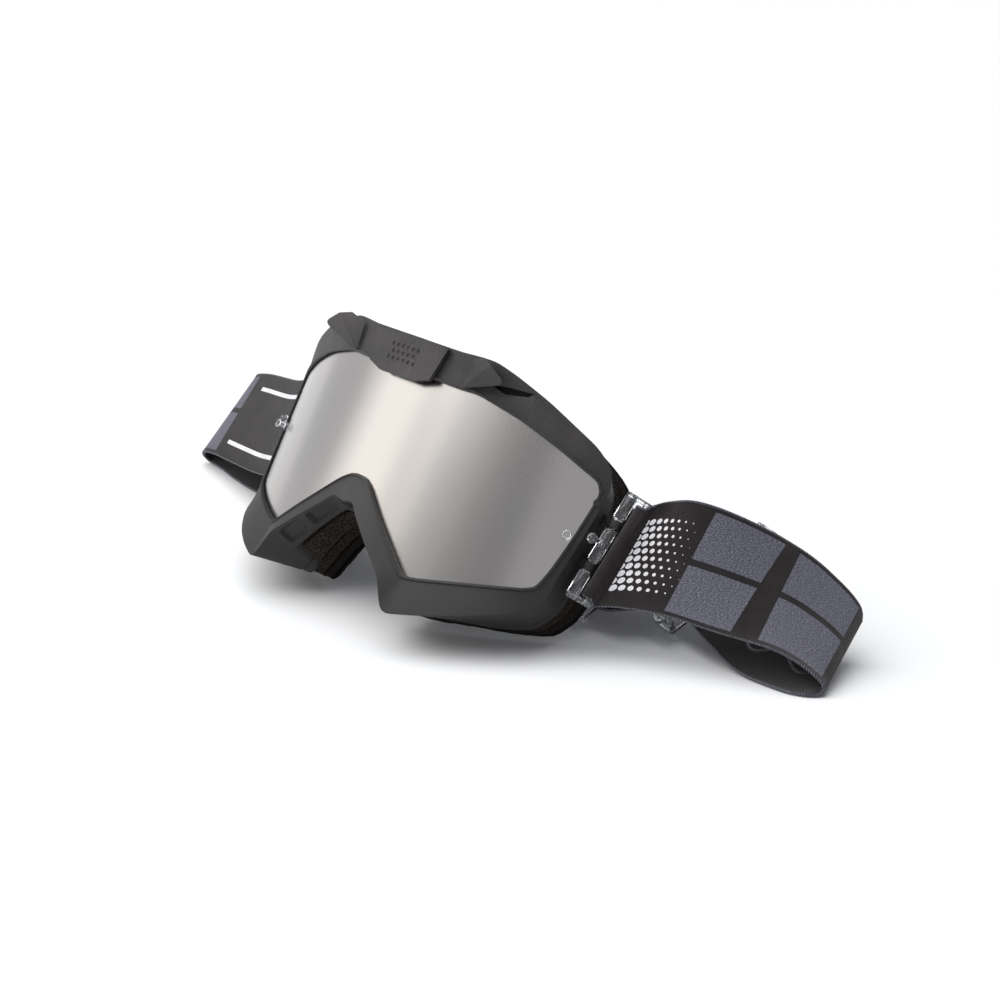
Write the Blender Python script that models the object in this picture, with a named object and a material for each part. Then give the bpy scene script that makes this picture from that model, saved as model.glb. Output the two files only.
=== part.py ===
"""Motocross goggles lying on a flat surface, built from separate named pieces.

Units are metres, +Z is up and the surface that the goggles lie on is Z = 0. The rigid part of the
goggles is drawn upright in its own axes, X across the face, Y from the lens towards the face, Z up,
and an empty leans it back to the pose in which it rests on its foam. The strap is drawn as it lies.
"""

import math

import bmesh
import bpy
from mathutils import Matrix, Vector

MM = 0.001

# ---------------------------------------------------------------- driving dimensions (mm, degrees)
LENS_RADIUS = 121.5          # cylinder that the lens is bent to, axis upright
LENS_THICKNESS = 1.6
LENS_IN_GROOVE = 1.7         # lens edge hidden in the frame groove
GROOVE_DEPTH = 2.3
GROOVE_FRONT = 0.35          # groove faces, measured outwards from the lens front
GROOVE_BACK = -2.2
WALL = 2.4                   # frame wall
FLANGE_WIDTH = 7.5           # flat rear face that the foam is glued to
FLANGE_THICKNESS = 2.2
FOAM_MIDDLE_DEPTH = 28.0     # rear of the foam behind the lens front at the middle of the face
FOAM_CURVE = 0.0052          # how fast the rear runs back towards the temples (per mm of width)
FOAM_WIDTH = 10.5
FOAM_INSET = 0.9
FOAM_GAP = 0.5
FOAM_LAYERS = (("foam_base", 5.6), ("foam_middle", 4.4), ("foam_fleece", 2.4))
GAP = 0.3                    # clearance between touching pieces
LEAN = 31.1                  # how far the goggles lean back
LENS_ORIGIN_HEIGHT = 52.0    # top of the nose arch above the surface, before leaning is applied
STRAP_WIDTH = 41.6
STRAP_THICKNESS = 1.5
BAR_RADIUS = 2.3             # outrigger front rail, which is also its hinge
NECK_RADIUS = 1.5
NECK_HALF = 1.9
BAR_HALF = 21.4
BAR_TOP = Vector((87.0, 42.2, 28.5))
BAR_BOTTOM = Vector((82.0, 38.3, -10.9))
STRAP_OUT = Vector((0.885, 0.440, 0.0))
RAIL_OFFSET = 6.4
RAIL_RADIUS = 1.3
HEM_INNER = 1.2              # how far the hem's layers run past the strap rail
HEM_OUTER = 1.2
HEM_SKEW = 0.39              # the webbing leaves the rail at a slant
LUG_PLACES = (-8.6, 8.6)     # where the frame's two clips hold the hinge rail
LUG_WALL = 0.7
LUG_WEB_REACH = 5.4          # how far a clip's web runs into the frame wall
LUG_WEB_HALF = 1.7
PLATE_HALF_DEPTH = 1.9       # end plates that join the hinge rail to the strap rail
PLATE_THICKNESS = 1.6
TEAR_OFF_DIRECTION = (0.14, -0.99, 0.0)
TEAR_OFF_FOOT = 1.4
TEAR_OFF_REACH = 9.6
LENS_POST_PLACE = (84.9, 7.5)
LENS_POST_HEIGHT = 4.6
BADGE_OUTLINE = (
    (-18.6, 52.6), (-16.0, 40.0), (-8.5, 37.6), (8.5, 37.6), (16.0, 40.0), (18.6, 52.6),
)
BADGE_FRONT = 4.2
BADGE_BACK = 2.5
TAIL_START = 1               # strap sections between which the doubled-back end lies
TAIL_END = 12
EYE_RISE = 3.4               # how far the doubled-back end bows away from the strap
EYE_START = 0.32             # share of its length where it begins to bow
SLIDER_END_STATION = 3       # strap sections at which the two sliders sit
SLIDER_LENGTH_STATION = 10
SLIDER_HALF_WIDTH = 5.2
SLIDER_BAR = 1.7
SLIDER_SIDE_BAR = 3.0        # width of each outer bar along the strap
SLIDER_MIDDLE_HALF = 1.6
SLIDER_END_BLOCK = 2.4
SLIDER_PLAY = 1.4            # room for the webbing's curve and twist inside a slider
SLIDER_END_PLAY = 3.2        # room past the webbing's edges

# Stations around the right half of the frame, from the nose arch over the temple to the brow.
# Each is (lens edge s, z, lip), (front outer edge s, z, proud), (rear outer edge x, z):
# s is measured round the lens cylinder, lip and proud stand out from the lens front.
STATIONS = (
    ((0.0, 0.0, 1.5), (0.0, -11.4, 3.9), (0.0, -15.6)),
    ((3.4, -0.6, 1.6), (4.8, -10.1, 4.2), (5.0, -16.4)),
    ((7.5, -3.1, 1.9), (9.0, -14.3, 4.6), (9.0, -20.0)),
    ((16.6, -11.5, 2.5), (16.4, -20.8, 5.2), (13.6, -26.5)),
    ((26.5, -19.9, 3.1), (23.8, -27.2, 5.9), (17.6, -33.6)),
    ((34.8, -27.0, 3.6), (28.8, -31.3, 6.3), (20.3, -38.0)),
    ((36.6, -27.6, 3.4), (35.2, -43.1, 5.8), (22.5, -40.0)),
    ((41.0, -26.9, 3.0), (46.0, -39.6, 5.6), (33.0, -39.0)),
    ((52.8, -23.4, 2.3), (57.0, -35.6, 5.0), (45.0, -35.8)),
    ((67.4, -18.9, 1.7), (73.0, -28.4, 3.4), (60.0, -32.3)),
    ((77.6, -15.7, 1.3), (84.0, -22.4, 1.2), (70.5, -28.0)),
    ((81.6, -13.6, 1.2), (87.2, -16.5, 0.6), (75.0, -19.5)),
    ((84.1, -6.2, 1.1), (87.8, -7.0, 0.4), (76.8, -8.0)),
    ((86.8, 6.0, 1.1), (90.0, 6.0, 0.4), (78.0, 6.0)),
    ((88.9, 18.2, 1.1), (92.0, 19.0, 0.4), (78.2, 17.6)),
    ((89.8, 25.0, 1.1), (92.9, 28.0, 0.5), (77.0, 26.8)),
    ((87.8, 28.6, 1.1), (90.8, 34.6, 1.0), (73.2, 33.0)),
    ((79.4, 31.2, 1.2), (83.4, 39.7, 1.6), (66.5, 38.0)),
    ((71.4, 33.8, 1.2), (74.5, 43.2, 2.2), (59.5, 41.8)),
    ((62.4, 36.3, 1.3), (61.5, 48.3, 2.4), (50.0, 45.8)),
    ((53.0, 38.7, 1.4), (47.3, 52.5, 2.0), (39.0, 49.6)),
    ((44.7, 40.0, 1.5), (37.8, 54.6, 1.8), (29.0, 52.0)),
    ((34.0, 41.6, 1.6), (30.5, 54.3, 2.0), (21.5, 53.2)),
    ((27.1, 41.0, 1.8), (24.0, 53.6, 2.2), (16.0, 53.6)),
    ((14.0, 41.0, 2.0), (12.0, 53.4, 2.2), (8.0, 53.9)),
    ((0.0, 41.0, 2.0), (0.0, 53.4, 2.2), (0.0, 54.0)),
)
STEPS_PER_STATION = 3
INNER_SMOOTHING = 8

# Strap sections as (lower edge, upper edge), lying on the surface, from the right outrigger round the
# right end, behind the goggles, round the left end and back to the left outrigger.
STRAP_RIGHT = (
    ((89.6, 30.0, 19.4), (94.6, 54.6, 52.8)),
    ((98.0, 34.4, 20.4), (98.6, 58.8, 54.2)),
    ((111.6, 40.9, 20.4), (108.6, 62.0, 56.0)),
    ((125.1, 46.8, 18.2), (120.0, 70.5, 52.0)),
    ((145.9, 56.0, 15.2), (134.8, 88.6, 38.2)),
    ((156.2, 60.6, 12.2), (144.0, 97.0, 27.6)),
    ((164.2, 64.6, 7.4), (149.6, 99.6, 21.2)),
    ((167.4, 66.0, 3.4), (151.4, 100.8, 17.0)),
    ((167.0, 63.0, 0.4), (151.2, 100.4, 12.8)),
    ((162.6, 59.4, 0.0), (147.4, 97.0, 12.0)),
    ((154.0, 57.2, 0.0), (141.0, 94.6, 14.0)),
    ((133.5, 57.4, 1.6), (126.0, 93.6, 19.6)),
    ((116.0, 61.0, 5.8), (110.6, 97.0, 24.4)),
)
STRAP_REAR = (
    ((115.0, 61.3, 6.0), (109.6, 97.3, 24.6)),
    ((101.5, 65.4, 8.4), (98.6, 101.8, 26.4)),
    ((91.5, 65.0, 9.4), (90.0, 101.4, 27.8)),
    ((82.0, 56.5, 9.2), (82.5, 93.2, 27.8)),
    ((74.0, 51.0, 8.0), (74.6, 87.4, 27.0)),
    ((62.0, 52.4, 7.4), (62.6, 88.2, 27.0)),
    ((45.0, 59.4, 5.0), (45.2, 94.4, 26.6)),
    ((20.0, 69.0, 0.8), (19.8, 102.0, 26.0)),
    ((-10.0, 74.6, 0.0), (-10.0, 107.0, 26.0)),
    ((-40.0, 74.6, 0.0), (-40.2, 106.4, 26.8)),
    ((-70.0, 68.4, 0.0), (-69.0, 98.6, 28.4)),
    ((-94.0, 57.2, 0.0), (-91.6, 87.0, 29.0)),
)
STRAP_LEFT = (
    ((-95.0, 56.6, 0.0), (-92.6, 86.6, 28.8)),
    ((-108.0, 49.2, 0.0), (-105.4, 81.4, 26.4)),
    ((-122.0, 47.0, 0.0), (-121.0, 81.4, 23.4)),
    ((-140.0, 49.8, 0.0), (-142.0, 86.0, 20.6)),
    ((-154.0, 53.4, 0.0), (-158.6, 90.2, 19.0)),
    ((-162.6, 54.8, 0.6), (-169.8, 91.0, 20.4)),
    ((-164.4, 52.8, 3.6), (-171.8, 87.8, 25.0)),
    ((-160.0, 50.4, 6.8), (-167.4, 84.2, 30.2)),
    ((-150.5, 48.4, 8.6), (-156.7, 80.9, 33.8)),
    ((-138.6, 45.2, 10.4), (-143.6, 76.0, 37.0)),
    ((-125.1, 41.2, 12.4), (-130.8, 70.7, 40.2)),
    ((-111.8, 37.1, 14.4), (-118.0, 65.3, 43.8)),
    ((-100.0, 33.4, 17.0), (-105.6, 59.8, 48.2)),
    ((-89.6, 30.0, 19.4), (-94.6, 54.6, 52.8)),
)
STRAP_STEP = 5.5             # spacing of the strap's cross-sections

# ------------------------------------------------------------------------------------ basic helpers
def clear_scene():
    for obj in list(bpy.data.objects):
        bpy.data.objects.remove(obj, do_unlink=True)


def material(name, color, roughness, metallic=0.0, transmission=0.0):
    mat = bpy.data.materials.new(name)
    mat.use_nodes = True
    shader = mat.node_tree.nodes["Principled BSDF"]
    shader.inputs["Base Color"].default_value = (*color, 1.0)
    shader.inputs["Roughness"].default_value = roughness
    shader.inputs["Metallic"].default_value = metallic
    shader.inputs["Transmission Weight"].default_value = transmission
    return mat


def finish_mesh(bm, name, mat, parent, smooth=False):
    """Turn a bmesh in millimetres into a named object in metres under its parent."""
    bmesh.ops.remove_doubles(bm, verts=bm.verts, dist=0.001)
    bmesh.ops.recalc_face_normals(bm, faces=bm.faces)
    if bm.calc_volume(signed=True) < 0.0:
        bmesh.ops.reverse_faces(bm, faces=bm.faces)
    bmesh.ops.scale(bm, vec=(MM, MM, MM), verts=bm.verts)
    mesh = bpy.data.meshes.new(name)
    bm.to_mesh(mesh)
    bm.free()
    obj = bpy.data.objects.new(name, mesh)
    bpy.context.collection.objects.link(obj)
    mesh.materials.append(mat)
    if smooth:
        mesh.shade_smooth()
        mesh.set_sharp_from_angle(angle=math.radians(35.0))
    obj.parent = parent
    return obj


def boolean(target, cutter, operation):
    """Cut or join with EXACT, and leave the second body out of the build."""
    cutter.hide_render = True
    cutter.display_type = "WIRE"
    modifier = target.modifiers.new(cutter.name, "BOOLEAN")
    modifier.operation = operation
    modifier.solver = "EXACT"
    modifier.object = cutter


def on_lens(s, z, proud):
    """Point of the lens cylinder: s runs round it, proud stands out from its front face."""
    angle = s / LENS_RADIUS
    radius = LENS_RADIUS + proud
    return Vector((radius * math.sin(angle), LENS_RADIUS - radius * math.cos(angle), z))


def rear_depth(x):
    """Depth of the foam's rear face, which follows the curve of a face."""
    return FOAM_MIDDLE_DEPTH + FOAM_CURVE * x * x


def foam_total():
    return sum(depth for _, depth in FOAM_LAYERS) + FOAM_GAP * len(FOAM_LAYERS)


def flange_depth(x):
    return rear_depth(x) - foam_total()


def mirrored_ring(half):
    """Close a right-half list of tuples whose first number is sideways into a full ring."""
    left = [(-point[0],) + tuple(point[1:]) for point in half[1:-1]]
    return list(half) + left[::-1]


def refine(ring, steps):
    """Insert evenly spaced points between the stations of a closed ring."""
    result = []
    for index, start in enumerate(ring):
        end = ring[(index + 1) % len(ring)]
        for step in range(steps):
            share = step / steps
            result.append(tuple(a + (b - a) * share for a, b in zip(start, end)))
    return result


def offset_ring(ring, distance):
    """Shift a closed (x, z) ring sideways, positive outwards, keeping one point per station."""
    area = sum(a[0] * b[1] - b[0] * a[1] for a, b in zip(ring, ring[1:] + ring[:1]))
    sign = 1.0 if area > 0.0 else -1.0
    result = []
    count = len(ring)
    for index, point in enumerate(ring):
        before = Vector(ring[index - 1][:2])
        here = Vector(point[:2])
        after = Vector(ring[(index + 1) % count][:2])
        first = (here - before).normalized()
        second = (after - here).normalized()
        normal_a = Vector((first.y, -first.x)) * sign
        normal_b = Vector((second.y, -second.x)) * sign
        mean = normal_a + normal_b
        mean = mean.normalized() if mean.length > 0.05 else normal_a
        stretch = min(1.35, 1.0 / max(0.3, mean.dot(normal_a)))
        moved = here + mean * distance * stretch
        result.append((moved.x, moved.y) + tuple(point[2:]))
    return result


def smooth_ring(ring, passes):
    """Round off a closed ring, so that an inward offset has no folds at sharp corners."""
    for _ in range(passes):
        pairs = zip(ring[-1:] + ring[:-1], ring, ring[1:] + ring[:1])
        ring = [tuple((a + 2.0 * b + c) / 4.0 for a, b, c in zip(*triple)) for triple in pairs]
    return ring


def loft_loop(rings, flipped=()):
    """Ring-shaped tube in triangles. Flipped rows swap diagonals, so that stacked layers match."""
    bm = bmesh.new()
    rows = [[bm.verts.new(point) for point in ring] for ring in rings]
    count = len(rows[0])
    for index, row in enumerate(rows):
        other = rows[(index + 1) % len(rows)]
        for k in range(count):
            n = (k + 1) % count
            if index in flipped:
                bm.faces.new((row[k], row[n], other[k]))
                bm.faces.new((row[n], other[n], other[k]))
            else:
                bm.faces.new((row[k], row[n], other[n]))
                bm.faces.new((row[k], other[n], other[k]))
    return bm


def loft_solid(sections):
    """Closed solid through a row of equal sections, with both ends filled."""
    bm = bmesh.new()
    rows = [[bm.verts.new(point) for point in section] for section in sections]
    count = len(rows[0])
    for row, other in zip(rows, rows[1:]):
        for k in range(count):
            n = (k + 1) % count
            bm.faces.new((row[k], row[n], other[n], other[k]))
    bm.faces.new(rows[0])
    bm.faces.new(rows[-1])
    return bm


def bent_plate(outline, front, back, step=8.0):
    """Plate that follows the lens cylinder, cut from an (s, z) outline."""
    bm = bmesh.new()
    verts = [bm.verts.new((s, 0.0, z)) for s, z in outline]
    bm.faces.new(verts)
    low = min(s for s, _ in outline)
    high = max(s for s, _ in outline)
    cut = math.floor(low / step) * step + step
    while cut < high - 0.01:
        geometry = bm.verts[:] + bm.edges[:] + bm.faces[:]
        bmesh.ops.bisect_plane(bm, geom=geometry, dist=0.01, plane_co=(cut, 0, 0), plane_no=(1, 0, 0))
        cut += step
    extruded = bmesh.ops.extrude_face_region(bm, geom=bm.faces[:])
    moved = [item for item in extruded["geom"] if isinstance(item, bmesh.types.BMVert)]
    for vert in moved:
        vert.co.y = 1.0
    for vert in bm.verts:
        proud = back if vert.co.y > 0.5 else front
        vert.co = on_lens(vert.co.x, vert.co.z, proud)
    bmesh.ops.triangulate(bm, faces=[face for face in bm.faces if len(face.verts) > 4])
    return bm


def round_bar(start, end, radius, sides=12):
    """Round bar between two points."""
    bm = bmesh.new()
    axis = end - start
    bmesh.ops.create_cone(bm, cap_ends=True, segments=sides, radius1=radius, radius2=radius,
                          depth=axis.length)
    turn = axis.to_track_quat("Z", "Y").to_matrix().to_4x4()
    bmesh.ops.transform(bm, matrix=Matrix.Translation((start + end) / 2.0) @ turn, verts=bm.verts)
    return bm


def turned_bar(start, end, profile, sides=12):
    """Bar turned about the line start-end from (position along it, radius) pairs."""
    axis = (end - start).normalized()
    side = axis.orthogonal().normalized()
    other = axis.cross(side)
    sections = []
    for along, radius in profile:
        centre = start + axis * along
        section = []
        for k in range(sides):
            angle = math.tau * k / sides
            section.append(centre + (side * math.cos(angle) + other * math.sin(angle)) * radius)
        sections.append(section)
    return loft_solid(sections)


def block(origin, axes, low, high):
    """Box in local axes (three unit vectors) between two corners."""
    bm = bmesh.new()
    bmesh.ops.create_cube(bm, size=1.0)
    for vert in bm.verts:
        share = [vert.co[i] + 0.5 for i in range(3)]
        local = [low[i] + (high[i] - low[i]) * share[i] for i in range(3)]
        vert.co = origin + axes[0] * local[0] + axes[1] * local[1] + axes[2] * local[2]
    return bm


# -------------------------------------------------------------------------------------------- frame
def station_rings():
    """Lens edge, front outer edge and rear outer edge as closed rings with the same count."""
    inner = refine(mirrored_ring([station[0] for station in STATIONS]), STEPS_PER_STATION)
    outer = refine(mirrored_ring([station[1] for station in STATIONS]), STEPS_PER_STATION)
    rear = refine(mirrored_ring([station[2] for station in STATIONS]), STEPS_PER_STATION)
    return inner, outer, rear


def frame_rings():
    """Cross-section rings of the frame: groove, lip, front face, wall, flange and back to the groove."""
    inner, outer, rear = station_rings()
    groove = offset_ring(inner, GROOVE_DEPTH)
    seat_wide = offset_ring(inner, GROOVE_DEPTH + 0.6)
    wall = offset_ring(outer, -WALL)
    flange_in = smooth_ring(offset_ring(rear, -FLANGE_WIDTH), INNER_SMOOTHING)
    wall_rear = offset_ring(rear, -WALL)
    back = GROOVE_BACK - 1.8
    rings = [
        [on_lens(s, z, GROOVE_FRONT) for s, z, _ in inner],
        [on_lens(s, z, lip) for s, z, lip in inner],
        [on_lens(s, z, proud) for s, z, proud in outer],
        at_flange(rear),
        at_flange(flange_in),
        at_flange(flange_in, -FLANGE_THICKNESS),
        at_flange(wall_rear, -FLANGE_THICKNESS),
        [on_lens(s, z, min(proud, 0.0) + back - 1.0) for s, z, proud in wall],
        [on_lens(s, z, back) for s, z, _ in seat_wide],
        [on_lens(s, z, back) for s, z, _ in inner],
        [on_lens(s, z, GROOVE_BACK) for s, z, _ in inner],
        [on_lens(s, z, GROOVE_BACK) for s, z, _ in groove],
        [on_lens(s, z, GROOVE_FRONT) for s, z, _ in groove],
    ]
    return rings


def between_rings(first, second, share):
    """Ring on the straight lines from one (x, z) ring to another, at a share of their length."""
    return [tuple(a + (b - a) * share for a, b in zip(*pair)) for pair in zip(first, second)]


def at_flange(ring, shift=0.0):
    """Points of an (x, z) ring on the curved rear face of the flange, or behind it by shift."""
    return [Vector((x, flange_depth(x) + shift, z)) for x, z in ring]


def bar_axis():
    """Direction of the right hinge rail."""
    return (BAR_TOP - BAR_BOTTOM).normalized()


def bar_point(along):
    """Point of the right bar, measured from its middle."""
    return (BAR_TOP + BAR_BOTTOM) / 2.0 + bar_axis() * along


def mirror_x(bm, side):
    if side < 0:
        bmesh.ops.scale(bm, vec=(-1.0, 1.0, 1.0), verts=bm.verts)
        bmesh.ops.reverse_faces(bm, faces=bm.faces)
    return bm


def make_frame(parent, mat):
    bm = loft_loop(frame_rings())
    frame = finish_mesh(bm, "frame", mat, parent)
    for side, label in ((1, "right"), (-1, "left")):
        for number, along in enumerate(LUG_PLACES):
            lug = lug_body(along, side, f"lug_{label}_{number}", mat, parent)
            boolean(frame, lug, "UNION")
    return frame


def lug_body(along, side, name, mat, parent):
    """Clip on the frame's temple that holds a neck of the outrigger's hinge rail."""
    axis = bar_axis()
    centre = bar_point(along)
    inward = Vector((-0.93, -0.02, 0.0))
    inward = (inward - axis * inward.dot(axis)).normalized()
    across = axis.cross(inward)
    half = NECK_HALF - GAP
    inner_radius = NECK_RADIUS + GAP
    outer_radius = inner_radius + LUG_WALL
    bm = bmesh.new()
    sides = 14
    rows = []
    for level in (-half, half):
        for radius in (inner_radius, outer_radius):
            row = []
            for k in range(sides):
                angle = math.tau * k / sides
                spoke = inward * math.cos(angle) + across * math.sin(angle)
                row.append(bm.verts.new(centre + axis * level + spoke * radius))
            rows.append(row)
    for first, second in ((0, 1), (1, 3), (3, 2), (2, 0)):
        for k in range(sides):
            n = (k + 1) % sides
            bm.faces.new((rows[first][k], rows[first][n], rows[second][n], rows[second][k]))
    ring = finish_mesh(mirror_x(bm, side), name + "_ring", mat, parent)
    web = block(centre, (inward, across, axis), (inner_radius + 0.25, -LUG_WEB_HALF, -half + 0.2),
                (LUG_WEB_REACH, LUG_WEB_HALF, half - 0.2))
    web_obj = finish_mesh(mirror_x(web, side), name, mat, parent)
    boolean(web_obj, ring, "UNION")
    return web_obj


def make_lens(parent, mat):
    half = [station[0][:2] for station in STATIONS]
    outline = offset_ring(mirrored_ring(half), LENS_IN_GROOVE)
    bm = bent_plate(outline, 0.0, -LENS_THICKNESS)
    return finish_mesh(bm, "lens", mat, parent, smooth=True)


def make_lens_posts(parent, mat):
    """Tear-off posts that stand out of the lens near its outer edges."""
    for side, label in ((1, "right"), (-1, "left")):
        foot = on_lens(*LENS_POST_PLACE, GAP)
        top = on_lens(*LENS_POST_PLACE, LENS_POST_HEIGHT)
        profile = ((0.0, 1.5), (0.7, 1.5), (0.9, 0.9), (2.6, 0.9), (3.0, 1.6), (3.9, 1.6), (4.3, 0.9))
        bm = turned_bar(foot, top, profile, sides=10)
        finish_mesh(mirror_x(bm, side), f"lens_post_{label}", mat, parent, smooth=True)


def make_badge(parent, mat):
    bm = bent_plate(BADGE_OUTLINE, BADGE_FRONT, BADGE_BACK, step=6.0)
    return finish_mesh(bm, "brow_badge", mat, parent)


def make_scoops(parent, mat):
    """Wedge-shaped air scoops that flare out from the brow band, open on their outer side."""
    for side, label in ((1, "right"), (-1, "left")):
        outer = [
            on_lens(28.8, 41.4, 2.6), on_lens(29.0, 52.4, 3.4), on_lens(34.8, 54.2, 7.0),
            on_lens(39.5, 52.4, 9.4), on_lens(47.6, 47.4, 10.2),
        ]
        inner = [
            on_lens(30.0, 42.6, 2.1), on_lens(28.9, 50.2, 2.7), on_lens(36.4, 52.0, 4.6),
            on_lens(40.1, 49.3, 7.6), on_lens(45.9, 46.6, 7.7),
        ]
        bm = bmesh.new()
        top = [bm.verts.new(point) for point in outer]
        low = [bm.verts.new(point) for point in inner]
        count = len(top)
        bm.faces.new(top)
        bm.faces.new(low)
        for k in range(count):
            n = (k + 1) % count
            bm.faces.new((top[k], top[n], low[n], low[k]))
        bmesh.ops.triangulate(bm, faces=bm.faces)
        finish_mesh(mirror_x(bm, side), f"brow_scoop_{label}", mat, parent)


def make_foam(parent, materials):
    """Three glued foam layers that follow the flange and the curve of the face."""
    _, _, rear = station_rings()
    flange_in = smooth_ring(offset_ring(rear, -FLANGE_WIDTH), INNER_SMOOTHING)
    outer = between_rings(rear, flange_in, FOAM_INSET / FLANGE_WIDTH)
    inner = between_rings(rear, flange_in, (FOAM_INSET + FOAM_WIDTH) / FLANGE_WIDTH)
    inner = smooth_ring(inner, INNER_SMOOTHING)
    front = FOAM_GAP
    for index, (name, thickness) in enumerate(FOAM_LAYERS):
        rings = [
            at_flange(outer, front),
            at_flange(outer, front + thickness),
            at_flange(inner, front + thickness),
            at_flange(inner, front),
        ]
        bm = loft_loop(rings, flipped=(3,))
        finish_mesh(bm, name, materials[index], parent)
        front += thickness + FOAM_GAP


# --------------------------------------------------------------------------------------- outriggers
def outrigger_axes():
    axis = bar_axis()
    out = (STRAP_OUT - axis * STRAP_OUT.dot(axis)).normalized()
    front = out.cross(axis)
    return axis, out, front


def make_outrigger(side, label, parent, mat):
    """Clear outrigger: hinge rail with two necks, strap rail, end plates and tear-off post."""
    axis, out, front = outrigger_axes()
    start = bar_point(-BAR_HALF)
    end = bar_point(BAR_HALF)
    profile = [(0.0, BAR_RADIUS)]
    for place in LUG_PLACES:
        centre = place + BAR_HALF
        profile += [(centre - NECK_HALF - 0.2, BAR_RADIUS), (centre - NECK_HALF, NECK_RADIUS),
                    (centre + NECK_HALF, NECK_RADIUS), (centre + NECK_HALF + 0.2, BAR_RADIUS)]
    profile.append((2.0 * BAR_HALF, BAR_RADIUS))
    rail = turned_bar(start, end, profile)
    body = finish_mesh(mirror_x(rail, side), f"outrigger_{label}", mat, parent)
    shift = out * RAIL_OFFSET
    strap_rail = round_bar(start + shift + axis * 0.8, end + shift - axis * 0.8, RAIL_RADIUS, 10)
    strap_rail = finish_mesh(mirror_x(strap_rail, side), f"strap_rail_{label}", mat, parent)
    boolean(body, strap_rail, "UNION")
    for number, along in enumerate((-BAR_HALF, BAR_HALF)):
        sign = 1.0 if along > 0 else -1.0
        centre = bar_point(along - sign * 0.1)
        low = (-1.0, -PLATE_HALF_DEPTH, min(0.0, -sign * PLATE_THICKNESS))
        high = (RAIL_OFFSET + 1.7, PLATE_HALF_DEPTH,
                max(0.0, -sign * PLATE_THICKNESS) + 0.4 * (sign < 0))
        plate = block(centre - axis * 0.05 * sign, (out, front, axis), low, high)
        plate = finish_mesh(mirror_x(plate, side), f"end_plate_{label}_{number}", mat, parent)
        boolean(body, plate, "UNION")
    direction = Vector(TEAR_OFF_DIRECTION).normalized()
    foot = bar_point(1.0) + direction * TEAR_OFF_FOOT
    tip = bar_point(1.0) + direction * TEAR_OFF_REACH
    length = (tip - foot).length
    post_profile = ((0.0, 1.0), (length - 3.6, 0.9), (length - 3.2, 1.5), (length - 2.2, 1.9),
                    (length - 1.1, 1.8), (length - 0.3, 1.1), (length, 0.5))
    post = turned_bar(foot, tip, post_profile, sides=10)
    post = finish_mesh(mirror_x(post, side), f"post_{label}", mat, parent, smooth=True)
    boolean(body, post, "UNION")
    return body


def make_hem(side, label, parent, mat):
    """Sewn end of the strap, folded round the strap rail of the outrigger."""
    axis, out, front = outrigger_axes()
    fold = RAIL_RADIUS + GAP + STRAP_THICKNESS / 2.0
    path = [(RAIL_OFFSET + HEM_INNER, -fold)]
    path.append((RAIL_OFFSET + 0.5, -fold))
    for step in range(1, 8):
        angle = math.pi * step / 8.0
        path.append((RAIL_OFFSET - fold * math.sin(angle), -fold * math.cos(angle)))
    path.append((RAIL_OFFSET + 0.5, fold))
    path.append((RAIL_OFFSET + HEM_OUTER, fold))
    half_thickness = STRAP_THICKNESS / 2.0
    reach = BAR_HALF - 2.8
    sections = []
    for index, (along, height) in enumerate(path):
        slant = axis * HEM_SKEW * max(0.0, along - RAIL_OFFSET)
        before = Vector(path[max(index - 1, 0)])
        after = Vector(path[min(index + 1, len(path) - 1)])
        tangent = (after - before).normalized()
        normal = Vector((-tangent.y, tangent.x))
        section = []
        for edge, offset in ((-1, -1), (1, -1), (1, 1), (-1, 1)):
            here = Vector((along, height)) + normal * half_thickness * offset
            section.append(bar_point(edge * reach) + slant + out * here.x + front * here.y)
        sections.append(section)
    bm = loft_solid(sections)
    return finish_mesh(mirror_x(bm, side), f"strap_hem_{label}", mat, parent)


# -------------------------------------------------------------------------------------------- strap
def smooth_sections(sections, step):
    """Pass a smooth curve through the strap sections and space them evenly."""
    def curve(points, position):
        count = len(points)
        index = min(int(position), count - 2)
        t = position - index
        p0 = points[max(index - 1, 0)]
        p1 = points[index]
        p2 = points[index + 1]
        p3 = points[min(index + 2, count - 1)]
        return 0.5 * ((2.0 * p1) + (p2 - p0) * t + (2.0 * p0 - 5.0 * p1 + 4.0 * p2 - p3) * t * t
                      + (3.0 * p1 - p0 - 3.0 * p2 + p3) * t * t * t)

    lower = [Vector(section[0]) for section in sections]
    upper = [Vector(section[1]) for section in sections]
    dense = []
    per_span = 16
    for k in range((len(sections) - 1) * per_span + 1):
        position = k / per_span
        dense.append((curve(lower, position), curve(upper, position)))
    travelled = [0.0]
    for first, second in zip(dense, dense[1:]):
        middle_a = (first[0] + first[1]) / 2.0
        middle_b = (second[0] + second[1]) / 2.0
        travelled.append(travelled[-1] + (middle_b - middle_a).length)
    count = max(2, round(travelled[-1] / step))
    result = []
    index = 0
    for k in range(count + 1):
        target = travelled[-1] * k / count
        while index < len(travelled) - 2 and travelled[index + 1] < target:
            index += 1
        span = travelled[index + 1] - travelled[index]
        share = (target - travelled[index]) / span
        low = dense[index][0].lerp(dense[index + 1][0], share)
        high = dense[index][1].lerp(dense[index + 1][1], share)
        middle = (low + high) / 2.0
        half = (high - low).normalized() * STRAP_WIDTH / 2.0
        result.append((middle - half, middle + half))
    return result


def strap_frames(pairs):
    """Add each section's travel direction and outward normal."""
    frames = []
    for index, (low, high) in enumerate(pairs):
        before = pairs[max(index - 1, 0)]
        after = pairs[min(index + 1, len(pairs) - 1)]
        travel = ((after[0] + after[1]) - (before[0] + before[1])).normalized()
        normal = travel.cross(high - low).normalized()
        frames.append((low, high, travel, normal))
    return frames


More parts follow.
